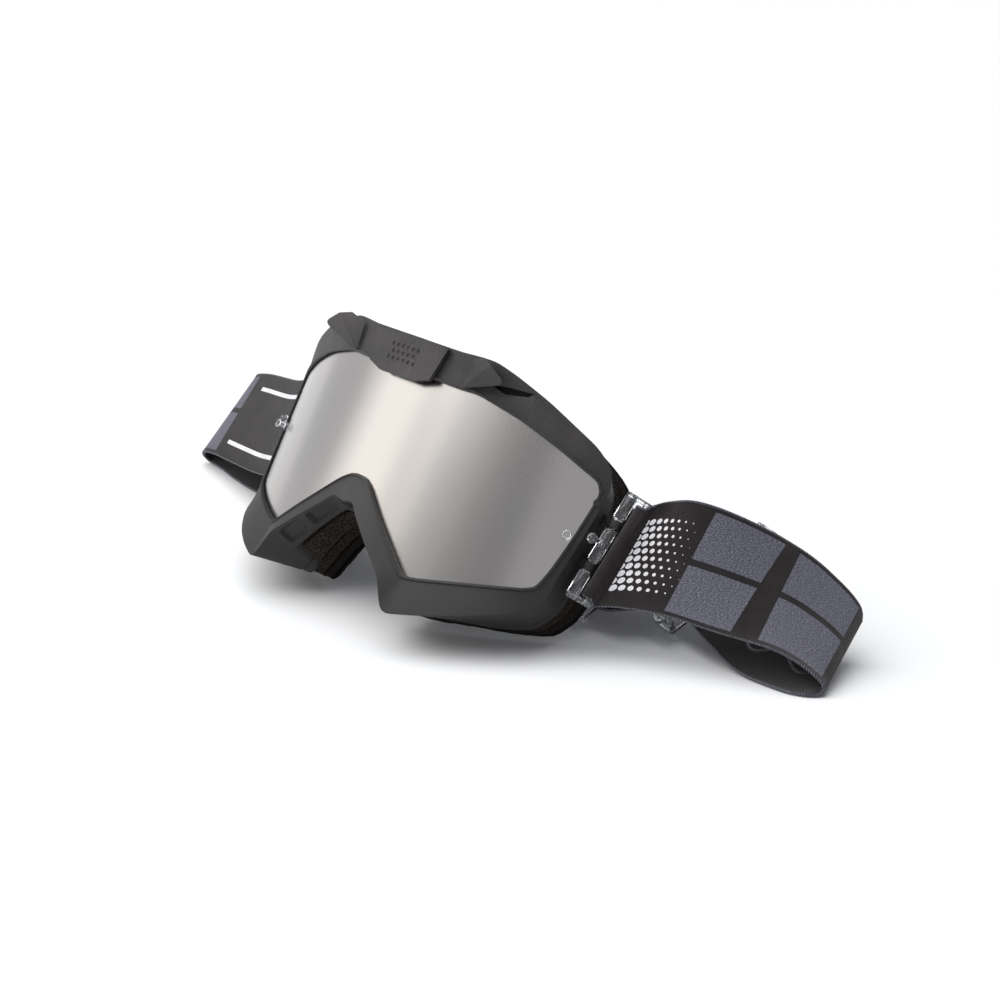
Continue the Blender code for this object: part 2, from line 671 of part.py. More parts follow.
def strap_solid(pairs, offset=0.0, thickness=STRAP_THICKNESS):
    sections = []
    for low, high, _, normal in strap_frames(pairs):
        near = normal * (offset + thickness / 2.0)
        far = normal * (offset - thickness / 2.0)
        sections.append((low + near, high + near, high + far, low + far))
    return loft_solid(sections)


def rest_on_surface(pairs):
    """Lift each section so that the thick strip's lower edge stays on or above the surface."""
    lifted = []
    for low, high, _, normal in strap_frames(pairs):
        lowest = low.z - abs(normal.z) * STRAP_THICKNESS / 2.0
        lift = Vector((0.0, 0.0, max(0.0, -lowest)))
        lifted.append((low + lift, high + lift))
    return lifted


def make_strap(parent, mat, lining):
    """Three stretches of webbing and the doubled-back end; gives back the rear stretch's sections."""
    made = {}
    for name, sections in (("strap_right", STRAP_RIGHT), ("strap_rear", STRAP_REAR),
                           ("strap_left", STRAP_LEFT)):
        made[name] = rest_on_surface(smooth_sections(sections, STRAP_STEP))
        finish_mesh(strap_solid(made[name]), name, mat, parent)
    make_tail(made["strap_rear"], parent, lining)
    return made["strap_rear"]


def make_tail(rear, parent, mat):
    """Doubled-back end of the strap, which bows away from it between the two sliders."""
    sections = []
    chosen = strap_frames(rear)[TAIL_START:TAIL_END]
    for index, (low, high, _, normal) in enumerate(chosen):
        share = index / (len(chosen) - 1)
        inside = min(1.0, max(0.0, (share - EYE_START) / (1.0 - 2.0 * EYE_START)))
        bow = EYE_RISE * math.sin(math.pi * inside)
        shift = normal * -(STRAP_THICKNESS + GAP + bow)
        near = shift + normal * STRAP_THICKNESS / 2.0
        far = shift - normal * STRAP_THICKNESS / 2.0
        sections.append((low + near, high + near, high + far, low + far))
    bm = loft_solid(sections)
    lowest = min(vert.co.z for vert in bm.verts)
    bmesh.ops.translate(bm, vec=(0.0, 0.0, max(0.0, -lowest)), verts=bm.verts)
    return finish_mesh(bm, "strap_tail", mat, parent)


def make_slider(name, frame, parent, mat):
    """Tri-glide slider: side bars outside the strap, centre bar inside it, joined by end blocks."""
    low, high, travel, normal = frame
    middle = (low + high) / 2.0
    width = (high - low).normalized()
    width = (width - travel * width.dot(travel)).normalized()
    axes = (travel, width, travel.cross(width))
    outer = STRAP_THICKNESS / 2.0 + SLIDER_PLAY
    inner = -(STRAP_THICKNESS * 1.5 + GAP + SLIDER_PLAY)
    reach = STRAP_WIDTH / 2.0 + SLIDER_END_PLAY
    end = reach + SLIDER_END_BLOCK
    top = outer + SLIDER_BAR
    bottom = inner - SLIDER_BAR
    half = SLIDER_HALF_WIDTH
    bar_end = reach + 1.0
    inset = 0.15
    body = block(middle, axes, (-half, -end, bottom), (half, -reach, top))
    body = finish_mesh(body, name, mat, parent)
    pieces = [
        ((-half + inset, -bar_end, outer), (SLIDER_SIDE_BAR - half, bar_end, top - inset)),
        ((half - SLIDER_SIDE_BAR, -bar_end, outer), (half - inset, bar_end, top - inset)),
        ((-SLIDER_MIDDLE_HALF, -bar_end, bottom + inset), (SLIDER_MIDDLE_HALF, bar_end, inner)),
        ((-half, reach, bottom), (half, end, top)),
    ]
    for number, (corner_a, corner_b) in enumerate(pieces):
        piece = block(middle, axes, corner_a, corner_b)
        piece = finish_mesh(piece, f"{name}_piece_{number}", mat, parent)
        boolean(body, piece, "UNION")
    return body


# --------------------------------------------------------------------------------------------- main
def stand_on_origin(stand):
    """Shift everything so that the middle of the footprint, on the surface, is the origin."""
    depsgraph = bpy.context.evaluated_depsgraph_get()
    corners = []
    for obj in bpy.data.objects:
        if obj.type == "MESH" and not obj.hide_render:
            shape = obj.evaluated_get(depsgraph).to_mesh()
            corners += [obj.matrix_world @ vert.co for vert in shape.vertices]
    low = [min(corner[axis] for corner in corners) for axis in range(3)]
    high = [max(corner[axis] for corner in corners) for axis in range(3)]
    stand.location = (-(low[0] + high[0]) / 2.0, -(low[1] + high[1]) / 2.0, -low[2])


def main():
    clear_scene()
    charcoal = material("frame_plastic", (0.045, 0.043, 0.045), 0.55)
    mirror = material("lens_mirror", (0.62, 0.60, 0.57), 0.08, metallic=0.9)
    clear = material("clear_plastic", (0.85, 0.88, 0.90), 0.08, transmission=0.9)
    foam_dark = material("foam_dark", (0.030, 0.026, 0.022), 0.95)
    foam_mid = material("foam_middle", (0.040, 0.034, 0.030), 0.95)
    fleece = material("fleece", (0.020, 0.018, 0.018), 1.0)
    webbing = material("strap_webbing", (0.060, 0.050, 0.055), 0.9)
    lining = material("strap_lining", (0.015, 0.014, 0.014), 0.95)

    stand = bpy.data.objects.new("stand", None)
    bpy.context.collection.objects.link(stand)
    lean = bpy.data.objects.new("lean", None)
    bpy.context.collection.objects.link(lean)
    lean.parent = stand
    lean.location = (0.0, 0.0, LENS_ORIGIN_HEIGHT * MM)
    lean.rotation_euler = (math.radians(-LEAN), 0.0, 0.0)

    make_frame(lean, charcoal)
    make_lens(lean, mirror)
    make_lens_posts(lean, clear)
    make_badge(lean, charcoal)
    make_scoops(lean, charcoal)
    make_foam(lean, (foam_dark, foam_mid, fleece))
    for side, label in ((1, "right"), (-1, "left")):
        make_outrigger(side, label, lean, clear)
        make_hem(side, label, lean, webbing)
    rear = make_strap(stand, webbing, lining)
    frames = strap_frames(rear)
    make_slider("slider_end", frames[SLIDER_END_STATION], stand, clear)
    make_slider("slider_length", frames[SLIDER_LENGTH_STATION], stand, clear)
    stand_on_origin(stand)


main()
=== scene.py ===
"""Looks of the motocross goggles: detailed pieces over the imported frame, materials, lights and camera.

Rigid parts are drawn in the goggles' own axes in millimetres (X across the face, Y from the lens to the
face, Z up) and brought to the row frame by POSE. The strap is drawn in floor coordinates and shifted.
"""

import math

import bmesh
import bpy
from mathutils import Matrix, Vector, noise


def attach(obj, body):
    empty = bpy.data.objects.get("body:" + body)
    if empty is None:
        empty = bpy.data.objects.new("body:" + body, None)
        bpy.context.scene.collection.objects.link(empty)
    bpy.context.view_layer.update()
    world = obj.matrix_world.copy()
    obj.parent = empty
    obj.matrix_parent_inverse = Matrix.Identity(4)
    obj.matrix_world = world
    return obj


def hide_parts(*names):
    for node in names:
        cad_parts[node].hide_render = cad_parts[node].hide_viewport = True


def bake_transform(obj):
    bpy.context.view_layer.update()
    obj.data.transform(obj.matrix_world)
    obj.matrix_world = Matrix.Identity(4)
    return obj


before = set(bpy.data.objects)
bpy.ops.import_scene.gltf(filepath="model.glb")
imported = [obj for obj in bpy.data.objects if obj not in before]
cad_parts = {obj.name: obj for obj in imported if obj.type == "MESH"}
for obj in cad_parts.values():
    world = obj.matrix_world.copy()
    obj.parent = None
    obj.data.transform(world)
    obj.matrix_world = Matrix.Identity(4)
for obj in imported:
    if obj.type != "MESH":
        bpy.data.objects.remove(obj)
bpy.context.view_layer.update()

MM = 0.001
LENS_RADIUS = 121.5
LEAN = math.radians(31.1)
LENS_ORIGIN_HEIGHT = 52.0
STAND = Vector((2.035, -43.519, 0.026))       # floor drawing to row frame, mm
SIDES = ((1, "right"), (-1, "left"))

# Frame
STEPS = 6                                     # mesh steps between two stations of the frame
WALL = 2.4
WALL_CENTRE = Vector((0.0, 60.0, 10.0))       # a point inside the frame, to tell inwards from outwards
FLANGE_WIDTH = 7.5
FLANGE_THICKNESS = 2.2
NOSE_PAD_SEAT = 2.0                           # depth of the wall's step under the nose pad
BROW_SLOT = ((38.3, 46.4), (45.0, 44.9), (53.6, 46.9), (55.4, 48.7), (45.0, 47.7))
SCOOP_TOP = ((28.8, 41.4, 2.6), (29.0, 52.4, 3.4), (34.8, 54.2, 7.0), (39.5, 52.4, 9.4), (47.6, 47.4, 10.2))
SCOOP_LOW = ((30.0, 42.6, 2.1), (30.2, 51.4, 2.5), (35.4, 52.2, 4.9), (39.6, 50.6, 7.2), (45.2, 47.8, 8.2))
STUD_PROFILE = ((0.0, 1.4), (0.15, 1.5), (0.6, 1.5), (0.8, 1.3), (0.95, 0.9), (2.5, 0.9), (2.8, 1.3),
                (3.1, 1.6), (3.6, 1.65), (4.0, 1.45), (4.25, 1.0), (4.3, 0.4))
PAINTED_SHADE_AND_LIGHT_TONES = (0.42, 1.4)                    # plastic's tone low down (painted shade) and high up (painted light)
PAINTED_SHADE_AND_LIGHT_HEIGHTS = (0.018, 0.084)               # m, heights where the painted shade ends and the painted light is full

# Foam layers: CAD node, piece, thickness, rounding of the face, material slot
FOAM_LAYERS = (
    ("foam_base", "foam_ring_base", 5.6, 0.5, "foam_dark"),
    ("foam_middle", "foam_ring_middle", 4.4, 0.6, "foam_middle"),
    ("foam_fleece", "foam_ring_face", 2.4, 1.4, "fleece"),
)
FOAM_GAP = 0.5
FOAM_INSET = 0.9                              # from the flange's outer edge to the foam
FOAM_WIDTH = 10.5

# Outrigger, drawn on the right side
BAR_TOP = Vector((87.0, 42.2, 28.5))
BAR_BOTTOM = Vector((82.0, 38.3, -10.9))
BAR_HALF = 21.4
BAR_MIDDLE = (BAR_TOP + BAR_BOTTOM) / 2.0
BAR_AXIS = (BAR_TOP - BAR_BOTTOM).normalized()
STRAP_OUT = Vector((0.885, 0.440, 0.0))       # the way the strap leaves the outrigger
BAR_OUT = (STRAP_OUT - BAR_AXIS * STRAP_OUT.dot(BAR_AXIS)).normalized()
BAR_AHEAD = BAR_OUT.cross(BAR_AXIS)
RAIL_OFFSET = 6.4                             # from the hinge rail to the strap rail
RAIL_RADIUS = 1.3
LUG_PLACES = (-8.6, 8.6)                      # of the frame's clips along the hinge rail

# Strap
STRAP_WIDTH = 41.6
WEBBING = 1.5                                 # thickness in the CAD
WEBBING_DRAWN = 1.3                           # thickness between the rolled edges
EDGE_ROLL = 0.82                              # radius of the rolled edges
EDGE_STEPS = 6
FACE_STEPS = 8
DOT_PITCH = 2.9
HEM_INSET = 2.9                               # from the rail's end to the edge of the sewn end
OUTER_FOLD = 2.65                             # radius of the webbing's fold over the sewn end
TAIL_GAP = 0.3                                # between two layers of webbing
TAIL_START = 5.5                              # along the rear stretch
TAIL_LENGTH = 57.0
SLIDER_GAP = 1.9                              # from the webbing to a slider's bars

POSE = (Matrix.Translation((STAND + Vector((0, 0, LENS_ORIGIN_HEIGHT))) * MM)
        @ Matrix.Rotation(-LEAN, 4, "X") @ Matrix.Scale(MM, 4))
FLOOR = Matrix.Translation(STAND * MM) @ Matrix.Scale(MM, 4)

# Right half of the frame from the nose to the brow, as lens opening (s, z, lip), front edge
# (s, z, proud) and flange (x, z)
STATIONS = (
    ((0.0, 0.0, 1.5), (0.0, -11.4, 3.9), (0.0, -15.6)),
    ((3.4, -0.6, 1.6), (4.8, -10.1, 4.2), (5.0, -16.4)),
    ((7.5, -3.1, 1.9), (9.0, -14.3, 4.6), (9.0, -20.0)),
    ((16.6, -11.5, 2.5), (16.4, -20.8, 5.2), (13.6, -26.5)),
    ((26.5, -19.9, 3.1), (23.8, -27.2, 5.9), (17.6, -33.6)),
    ((34.8, -27.0, 3.6), (28.8, -31.3, 6.3), (20.3, -38.0)),
    ((36.6, -27.6, 3.4), (35.2, -43.1, 5.8), (22.5, -40.0)),
    ((41.0, -26.9, 3.0), (46.0, -39.6, 5.6), (33.0, -39.0)),
    ((52.8, -23.4, 2.3), (57.0, -35.6, 5.0), (45.0, -35.8)),
    ((67.4, -18.9, 1.7), (73.0, -28.4, 3.4), (60.0, -32.3)),
    ((77.6, -15.7, 1.3), (84.0, -22.4, 1.2), (70.5, -28.0)),
    ((81.6, -13.6, 1.2), (87.2, -16.5, 0.6), (75.0, -19.5)),
    ((84.1, -6.2, 1.1), (87.8, -7.0, 0.4), (76.8, -8.0)),
    ((86.8, 6.0, 1.1), (90.0, 6.0, 0.4), (78.0, 6.0)),
    ((88.9, 18.2, 1.1), (92.0, 19.0, 0.4), (78.2, 17.6)),
    ((89.8, 25.0, 1.1), (92.9, 28.0, 0.5), (77.0, 26.8)),
    ((87.8, 28.6, 1.1), (90.8, 34.6, 1.0), (73.2, 33.0)),
    ((79.4, 31.2, 1.2), (83.4, 39.7, 1.6), (66.5, 38.0)),
    ((71.4, 33.8, 1.2), (74.5, 43.2, 2.2), (59.5, 41.8)),
    ((62.4, 36.3, 1.3), (61.5, 48.3, 2.4), (50.0, 45.8)),
    ((53.0, 38.7, 1.4), (47.3, 52.5, 2.0), (39.0, 49.6)),
    ((44.7, 40.0, 1.5), (37.8, 54.6, 1.8), (29.0, 52.0)),
    ((34.0, 41.6, 1.6), (30.5, 54.3, 2.0), (21.5, 53.2)),
    ((27.1, 41.0, 1.8), (24.0, 53.6, 2.2), (16.0, 53.6)),
    ((14.0, 41.0, 2.0), (12.0, 53.4, 2.2), (8.0, 53.9)),
    ((0.0, 41.0, 2.0), (0.0, 53.4, 2.2), (0.0, 54.0)),
)

# Lower and upper edge of the webbing, in floor coordinates
STRAP_RIGHT = (
    ((89.6, 30.0, 19.4), (94.6, 54.6, 52.8)), ((98.0, 34.4, 20.4), (98.6, 58.8, 54.2)),
    ((111.6, 40.9, 20.4), (108.6, 62.0, 56.0)), ((125.1, 46.8, 18.2), (120.0, 70.5, 52.0)),
    ((145.9, 56.0, 15.2), (134.8, 88.6, 38.2)), ((156.2, 60.6, 12.2), (144.0, 97.0, 27.6)),
    ((164.2, 64.6, 7.4), (149.6, 99.6, 21.2)), ((167.4, 66.0, 3.4), (151.4, 100.8, 17.0)),
    ((167.0, 63.0, 0.4), (151.2, 100.4, 12.8)), ((162.6, 59.4, 0.0), (147.4, 97.0, 12.0)),
    ((154.0, 57.2, 0.0), (141.0, 94.6, 14.0)), ((133.5, 57.4, 1.6), (126.0, 93.6, 19.6)),
    ((116.0, 61.0, 5.8), (110.6, 97.0, 24.4)),
)
STRAP_REAR = (
    ((101.5, 65.4, 8.4), (98.6, 101.8, 26.4)), ((91.5, 65.0, 9.4), (90.0, 101.4, 27.8)),
    ((82.0, 56.5, 9.2), (82.5, 93.2, 27.8)), ((74.0, 51.0, 8.0), (74.6, 87.4, 27.0)),
    ((62.0, 52.4, 7.4), (62.6, 88.2, 27.0)), ((45.0, 59.4, 5.0), (45.2, 94.4, 26.6)),
    ((20.0, 69.0, 0.8), (19.8, 102.0, 26.0)), ((-10.0, 74.6, 0.0), (-10.0, 107.0, 26.0)),
    ((-40.0, 74.6, 0.0), (-40.2, 106.4, 26.8)), ((-70.0, 68.4, 0.0), (-69.0, 98.6, 28.4)),
    ((-94.0, 57.2, 0.0), (-91.6, 87.0, 29.0)),
)
STRAP_LEFT = (
    ((-108.0, 49.2, 0.0), (-105.4, 81.4, 26.4)), ((-122.0, 47.0, 0.0), (-121.0, 81.4, 23.4)),
    ((-140.0, 49.8, 0.0), (-142.0, 86.0, 20.6)), ((-154.0, 53.4, 0.0), (-158.6, 90.2, 19.0)),
    ((-162.6, 54.8, 0.6), (-169.8, 91.0, 20.4)), ((-164.4, 52.8, 3.6), (-171.8, 87.8, 25.0)),
    ((-160.0, 50.4, 6.8), (-167.4, 84.2, 30.2)), ((-150.5, 48.4, 8.6), (-156.7, 80.9, 33.8)),
    ((-138.6, 45.2, 10.4), (-143.6, 76.0, 37.0)), ((-125.1, 41.2, 12.4), (-130.8, 70.7, 40.2)),
    ((-111.8, 37.1, 14.4), (-118.0, 65.3, 43.8)), ((-100.0, 33.4, 17.0), (-105.6, 59.8, 48.2)),
    ((-89.6, 30.0, 19.4), (-94.6, 54.6, 52.8)),
)


# ---- node materials
class Field:
    """A shader value that can be added, multiplied and compared like a number."""

    def __init__(self, tree, socket):
        self.tree = tree
        self.socket = socket

    def math(self, operation, first, second):
        return add(self.tree, "ShaderNodeMath", {0: first, 1: second}, operation=operation)

    def apply(self, operation, other=0.0):
        return self.math(operation, self, other)

    def __add__(self, other):
        return self.math("ADD", self, other)

    def __sub__(self, other):
        return self.math("SUBTRACT", self, other)

    def __rsub__(self, other):
        return self.math("SUBTRACT", other, self)

    def __mul__(self, other):
        return self.math("MULTIPLY", self, other)

    def __gt__(self, other):
        return self.math("GREATER_THAN", self, other)

    def __lt__(self, other):
        return self.math("LESS_THAN", self, other)


def add(tree, kind, inputs=(), output=0, **settings):
    """Add a node, set its properties, set or link its inputs, and return one output."""
    node = tree.nodes.new(kind)
    for key, value in settings.items():
        setattr(node, key, value)
    for key, value in dict(inputs).items():
        socket = node.inputs[key]
        if isinstance(value, Field):
            tree.links.new(value.socket, socket)
        else:
            socket.default_value = (*value, 1.0) if isinstance(value, tuple) else value
    return Field(tree, node.outputs[output])


def drive(shader, **fields):
    """Link fields to the shader's sockets, named with underscores."""
    for socket, field in fields.items():
        field.tree.links.new(field.socket, shader.inputs[socket.replace("_", " ")])


def bump(shader, height, strength, distance):
    values = {"Height": height, "Strength": strength, "Distance": distance}
    drive(shader, Normal=add(height.tree, "ShaderNodeBump", values))


def mix_color(factor, first, second):
    return add(factor.tree, "ShaderNodeMix", {0: factor, 6: first, 7: second}, 2, data_type="RGBA")


def component(vector, index):
    return add(vector.tree, "ShaderNodeSeparateXYZ", {0: vector}, index)


def noise_texture(vector, scale, detail=3.0, roughness=0.55):
    values = {"Vector": vector, "Scale": scale, "Detail": detail, "Roughness": roughness}
    return add(vector.tree, "ShaderNodeTexNoise", values, "Fac")


def ramp(factor, *stops):
    """Colour ramp from (position, grey or colour) stops."""
    field = add(factor.tree, "ShaderNodeValToRGB", {0: factor})
    elements = field.socket.node.color_ramp.elements
    while len(elements) < len(stops):
        elements.new(0.5)
    for element, (position, color) in zip(elements, stops):
        element.position = position
        element.color = (*color, 1.0) if isinstance(color, tuple) else (color, color, color, 1.0)
    return field


def scaled(color, share):
    return tuple(share * channel for channel in color)


def material(name, color, roughness, **sockets):
    """New Principled material, its shader with uniform values on the sockets, and object coordinates."""
    mat = bpy.data.materials.new(name)
    mat.use_nodes = True
    shader = mat.node_tree.nodes["Principled BSDF"]
    shader.inputs["Base Color"].default_value = (*color, 1.0)
    shader.inputs["Roughness"].default_value = roughness
    for socket, value in sockets.items():
        shader.inputs[socket.replace("_", " ")].default_value = value
    return mat, shader, add(mat.node_tree, "ShaderNodeTexCoord", output="Object")


def moulded_plastic(name, dark, light, roughness):
    """Matte moulded plastic: fine spark-eroded grain, faint clouds, and painted light and shade: paler high
    up, darker low down.
    """
    mat, shader, place = material(name, dark, roughness, Specular_IOR_Level=0.42)
    speck = noise_texture(place, 1700.0, 2.0, 0.7)
    both = noise_texture(place, 38.0, 4.0) * 0.55 + speck * 0.45
    painted_light_ramps = [ramp(both, (0.40, scaled(dark, tone)), (0.62, scaled(light, tone)))
             for tone in PAINTED_SHADE_AND_LIGHT_TONES]
    # Painted light and shade: the colour grows paler with height, standing in for light from above and shade
    # low down.
    lowest, highest = PAINTED_SHADE_AND_LIGHT_HEIGHTS
    painted_light_share = add(place.tree, "ShaderNodeMapRange", {0: component(place, 2), 1: lowest, 2: highest})
    drive(shader, Base_Color=mix_color(painted_light_share, *painted_light_ramps), Roughness=speck * 0.22 + (roughness - 0.11))
    bump(shader, speck, 0.32, 0.00012)
    return mat


def foam_material(name, dark, light, cell):
    """Open-cell foam: dark pores between lit strands, with coarse bump."""
    mat, shader, place = material(name, dark, 0.95, Specular_IOR_Level=0.15)
    pores = add(place.tree, "ShaderNodeTexVoronoi", {"Vector": place, "Scale": cell, "Randomness": 1.0},
                "Distance", feature="DISTANCE_TO_EDGE")
    height = pores * -1.2 + noise_texture(place, cell * 1.7, 3.0, 0.7)
    color = ramp(height, (0.20, dark), (0.52, scaled(light, 0.55)), (0.68, light))
    drive(shader, Base_Color=mix_color(noise_texture(place, 260.0, 2.0) * 0.5, color, dark))
    bump(shader, height, 0.9, 0.0006)
    return mat


def webbing_coordinates(tree):
    """Distance along the webbing and across it, in mm, from the UV map."""
    uv = add(tree, "ShaderNodeUVMap", uv_map="webbing")
    return component(uv, 0) * 1000.0, component(uv, 1) * 1000.0


def between(value, low, high):
    """1 where value lies between low and high."""
    return (value > low) * (value < high)


def wave(value, length):
    return (value * (math.tau / length)).apply("SINE")


def twill(along, across, pitch):
    """Height of a fine diagonal weave with threads along the webbing."""
    return (wave(along + across, pitch) * 0.5 + wave(across, pitch * 0.62) * 0.25
            + wave(along, pitch * 0.5) * 0.2)


def fading_dots(along, across):
    """Staggered round dots that shrink away from the outrigger."""
    row = across * (1.0 / DOT_PITCH)
    column = along * (1.0 / DOT_PITCH) + row.apply("FLOOR") * 0.5
    u = column.apply("FRACT") - 0.5
    v = row.apply("FRACT") - 0.5
    radius = (0.505 - along * 0.0198).apply("MAXIMUM")
    dots = u * u + v * v < radius * radius
    return dots * between(across, -5.0 * DOT_PITCH, 5.0 * DOT_PITCH) * (along > 1.8)


def edge_lines(along, across):
    """Plain thin line near each edge of the webbing."""
    lines = between(across, 12.4, 14.2) + between(across, -14.2, -12.4)
    return lines * between(along, 3.0, 62.0)


def heathered_blocks(along, across, blocks):
    """Slanted blocks, each (start, end, slope), split along the webbing by a narrow groove."""
    total = None
    for low, high, slope in blocks:
        block = between(along + across * slope, low, high)
        total = total.apply("MAXIMUM", block) if total else block
    groove = between(across + along * -0.03, -2.2, 0.2)
    return total * (1.0 - groove) * between(across, -19.4, 19.4)


def webbing_face(name, blocks=(), marks=None):
    """Outer side of the strap: fine twill, with plain generic marks and heathered blocks."""
    mat, shader, place = material(name, (0.02, 0.017, 0.018), 0.86, Specular_IOR_Level=0.25,
                                 Sheen_Weight=0.18, Sheen_Roughness=0.45)
    along, across = webbing_coordinates(place.tree)
    weave = twill(along, across, 0.78)
    cloud = noise_texture(place, 90.0)
    color = ramp(weave * 0.42 + cloud * 0.8, (0.15, (0.0055, 0.0042, 0.0048)), (0.85, (0.034, 0.027, 0.0285)))
    if blocks:
        threads = add(place.tree, "ShaderNodeCombineXYZ", {0: along * 0.9, 1: across * 2.2})
        heather = ramp(noise_texture(threads, 1.5, 3.0, 0.8), (0.32, (0.018, 0.018, 0.026)),
                       (0.50, (0.092, 0.092, 0.120)), (0.67, (0.285, 0.287, 0.345)))
        color = mix_color(heathered_blocks(along, across, blocks), color, heather)
        white = ramp(cloud + weave * 0.12, (0.2, (0.62, 0.60, 0.62)), (0.8, (0.82, 0.81, 0.83)))
        color = mix_color(marks(along, across), color, white)
    drive(shader, Base_Color=color)
    bump(shader, weave, 0.55, 0.00022)
    return mat


def webbing_edge(name):
    """Overlocked edge: round thread loops across the roll, grey-blue over black."""
    mat, shader, place = material(name, (0.03, 0.03, 0.035), 0.8, Sheen_Weight=0.2)
    along, across = webbing_coordinates(place.tree)
    loops = wave(along + across * 0.6, 0.95)
    fuzz = noise_texture(place, 1400.0, 2.0, 0.7)
    drive(shader, Base_Color=ramp(loops * 0.16 + fuzz, (0.30, (0.014, 0.014, 0.018)),
                                  (0.56, (0.066, 0.070, 0.092)), (0.80, (0.175, 0.19, 0.24))))
    bump(shader, loops, 0.8, 0.00035)
    return mat


def webbing_back(name):
    """Soft brushed inner side of the strap."""
    mat, shader, place = material(name, (0.012, 0.010, 0.011), 0.95, Sheen_Weight=0.12)
    along, across = webbing_coordinates(place.tree)
    fuzz = noise_texture(place, 900.0, 3.0, 0.7)
    shade = twill(along, across, 1.3) * 0.2 + fuzz
    drive(shader, Base_Color=ramp(shade, (0.25, (0.006, 0.005, 0.0055)), (0.8, (0.022, 0.018, 0.020))))
    bump(shader, shade, 0.5, 0.0003)
    return mat


def clear_plastic(name):
    """Clear moulded polycarbonate with a faint flow tint and fine scuffs."""
    mat, shader, place = material(name, (0.90, 0.93, 0.96), 0.05, Transmission_Weight=0.97, IOR=1.49,
                                 Specular_IOR_Level=0.6)
    tint = ramp(noise_texture(place, 210.0, 2.0), (0.3, (0.93, 0.95, 0.98)), (0.7, (0.985, 0.995, 1.0)))
    scuff = ramp(noise_texture(place, 420.0, 3.0, 0.6), (0.45, 0.010), (0.80, 0.050))
    drive(shader, Base_Color=tint, Roughness=scuff)
    return mat


def mirror_lens(name):
    """Mirror-coated polycarbonate: silver with a slight warm drift, dust and faint ripple."""
    mat, shader, place = material(name, (0.70, 0.69, 0.68), 0.10, Metallic=1.0)
    drift = ramp(noise_texture(place, 9.0, 1.0), (0.35, (0.418, 0.404, 0.392)), (0.65, (0.448, 0.428, 0.408)))
    dust = ramp(noise_texture(place, 700.0, 4.0, 0.75), (0.40, 0.225), (0.80, 0.245))
    drive(shader, Base_Color=drift, Roughness=dust)
    bump(shader, noise_texture(place, 26.0, 1.0), 0.05, 0.0008)
    return mat


def silicone(name):
    """Rubbery grip print."""
    mat, shader, place = material(name, (0.035, 0.036, 0.038), 0.42, Specular_IOR_Level=0.5)
    fine = noise_texture(place, 1300.0, 2.0)
    drive(shader, Base_Color=ramp(fine, (0.3, (0.028, 0.029, 0.031)), (0.7, (0.060, 0.061, 0.065))))
    bump(shader, fine, 0.3, 0.0002)
    return mat


def floor_material():
    mat, shader, place = material("studio_floor", (0.86, 0.865, 0.87), 0.62)
    cloud = noise_texture(place, 3.0, 2.0)
    drive(shader, Base_Color=ramp(cloud, (0.3, (0.855, 0.86, 0.865)), (0.7, (0.875, 0.88, 0.885))))
    return mat


# ---- mesh helpers
def add_object(name, data):
    obj = bpy.data.objects.new(name, data)
    bpy.context.scene.collection.objects.link(obj)
    return obj


def new_object(bm, name, *mats, sharp=35.0, pose=POSE):
    """Bmesh in millimetres to a named object in the row frame."""
    bm.transform(pose)
    bmesh.ops.remove_doubles(bm, verts=bm.verts, dist=1e-6)
    bmesh.ops.recalc_face_normals(bm, faces=bm.faces)
    if bm.calc_volume(signed=True) < 0.0:
        bmesh.ops.reverse_faces(bm, faces=bm.faces)
    mesh = bpy.data.meshes.new(name)
    bm.to_mesh(mesh)
    bm.free()
    for mat in mats:
        mesh.materials.append(mat)
    mesh.shade_smooth()
    mesh.set_sharp_from_angle(angle=math.radians(sharp))
    return add_object(name, mesh)


def apply_modifiers(obj):
    depsgraph = bpy.context.evaluated_depsgraph_get()
    mesh = bpy.data.meshes.new_from_object(obj.evaluated_get(depsgraph))
    obj.modifiers.clear()
    obj.data = mesh


def bevel(obj, width, segments=2, angle=30.0):
    modifier = obj.modifiers.new("round", "BEVEL")
    modifier.width = width * MM
    modifier.segments = segments
    modifier.limit_method = "ANGLE"
    modifier.angle_limit = math.radians(angle)
    modifier.harden_normals = False
    apply_modifiers(obj)
    obj.data.shade_smooth()
    obj.data.set_sharp_from_angle(angle=math.radians(50.0))
    return obj


def cut(target, cutter):
    """Boolean difference, applied, with the cutter removed."""
    modifier = target.modifiers.new("cut", "BOOLEAN")
    modifier.operation = "DIFFERENCE"
    modifier.solver = "EXACT"
    modifier.object = cutter
    apply_modifiers(target)
    bpy.data.objects.remove(cutter, do_unlink=True)


def join(objects, name):
    """Join finished objects, whose meshes are all in the row frame, into a new one."""
    bm = bmesh.new()
    mats = []
    for obj in objects:
        start = len(bm.faces)
        bm.from_mesh(obj.data)
        bm.faces.ensure_lookup_table()
        for face in bm.faces[start:]:
            mat = obj.data.materials[face.material_index]
            if mat not in mats:
                mats.append(mat)
            face.material_index = mats.index(mat)
    mesh = bpy.data.meshes.new(name)
    bm.to_mesh(mesh)
    bm.free()
    for obj in objects:
        bpy.data.objects.remove(obj, do_unlink=True)
    for mat in mats:
        mesh.materials.append(mat)
    return add_object(name, mesh)


def rest_on_floor(obj):
    """Lift an object that reaches below the floor."""
    lowest = min(vert.co.z for vert in obj.data.vertices)
    if lowest < 0.0:
        obj.data.transform(Matrix.Translation((0.0, 0.0, -lowest)))
    return obj


def on_lens(s, z, proud):
    """Point on the lens cylinder at arc length s and height z, proud of the lens face."""
    angle = s / LENS_RADIUS
    radius = LENS_RADIUS + proud
    return Vector((radius * math.sin(angle), LENS_RADIUS - radius * math.cos(angle), z))


def lens_ring(ring, shift=0.0):
    return [on_lens(s, z, proud + shift) for s, z, proud in ring]


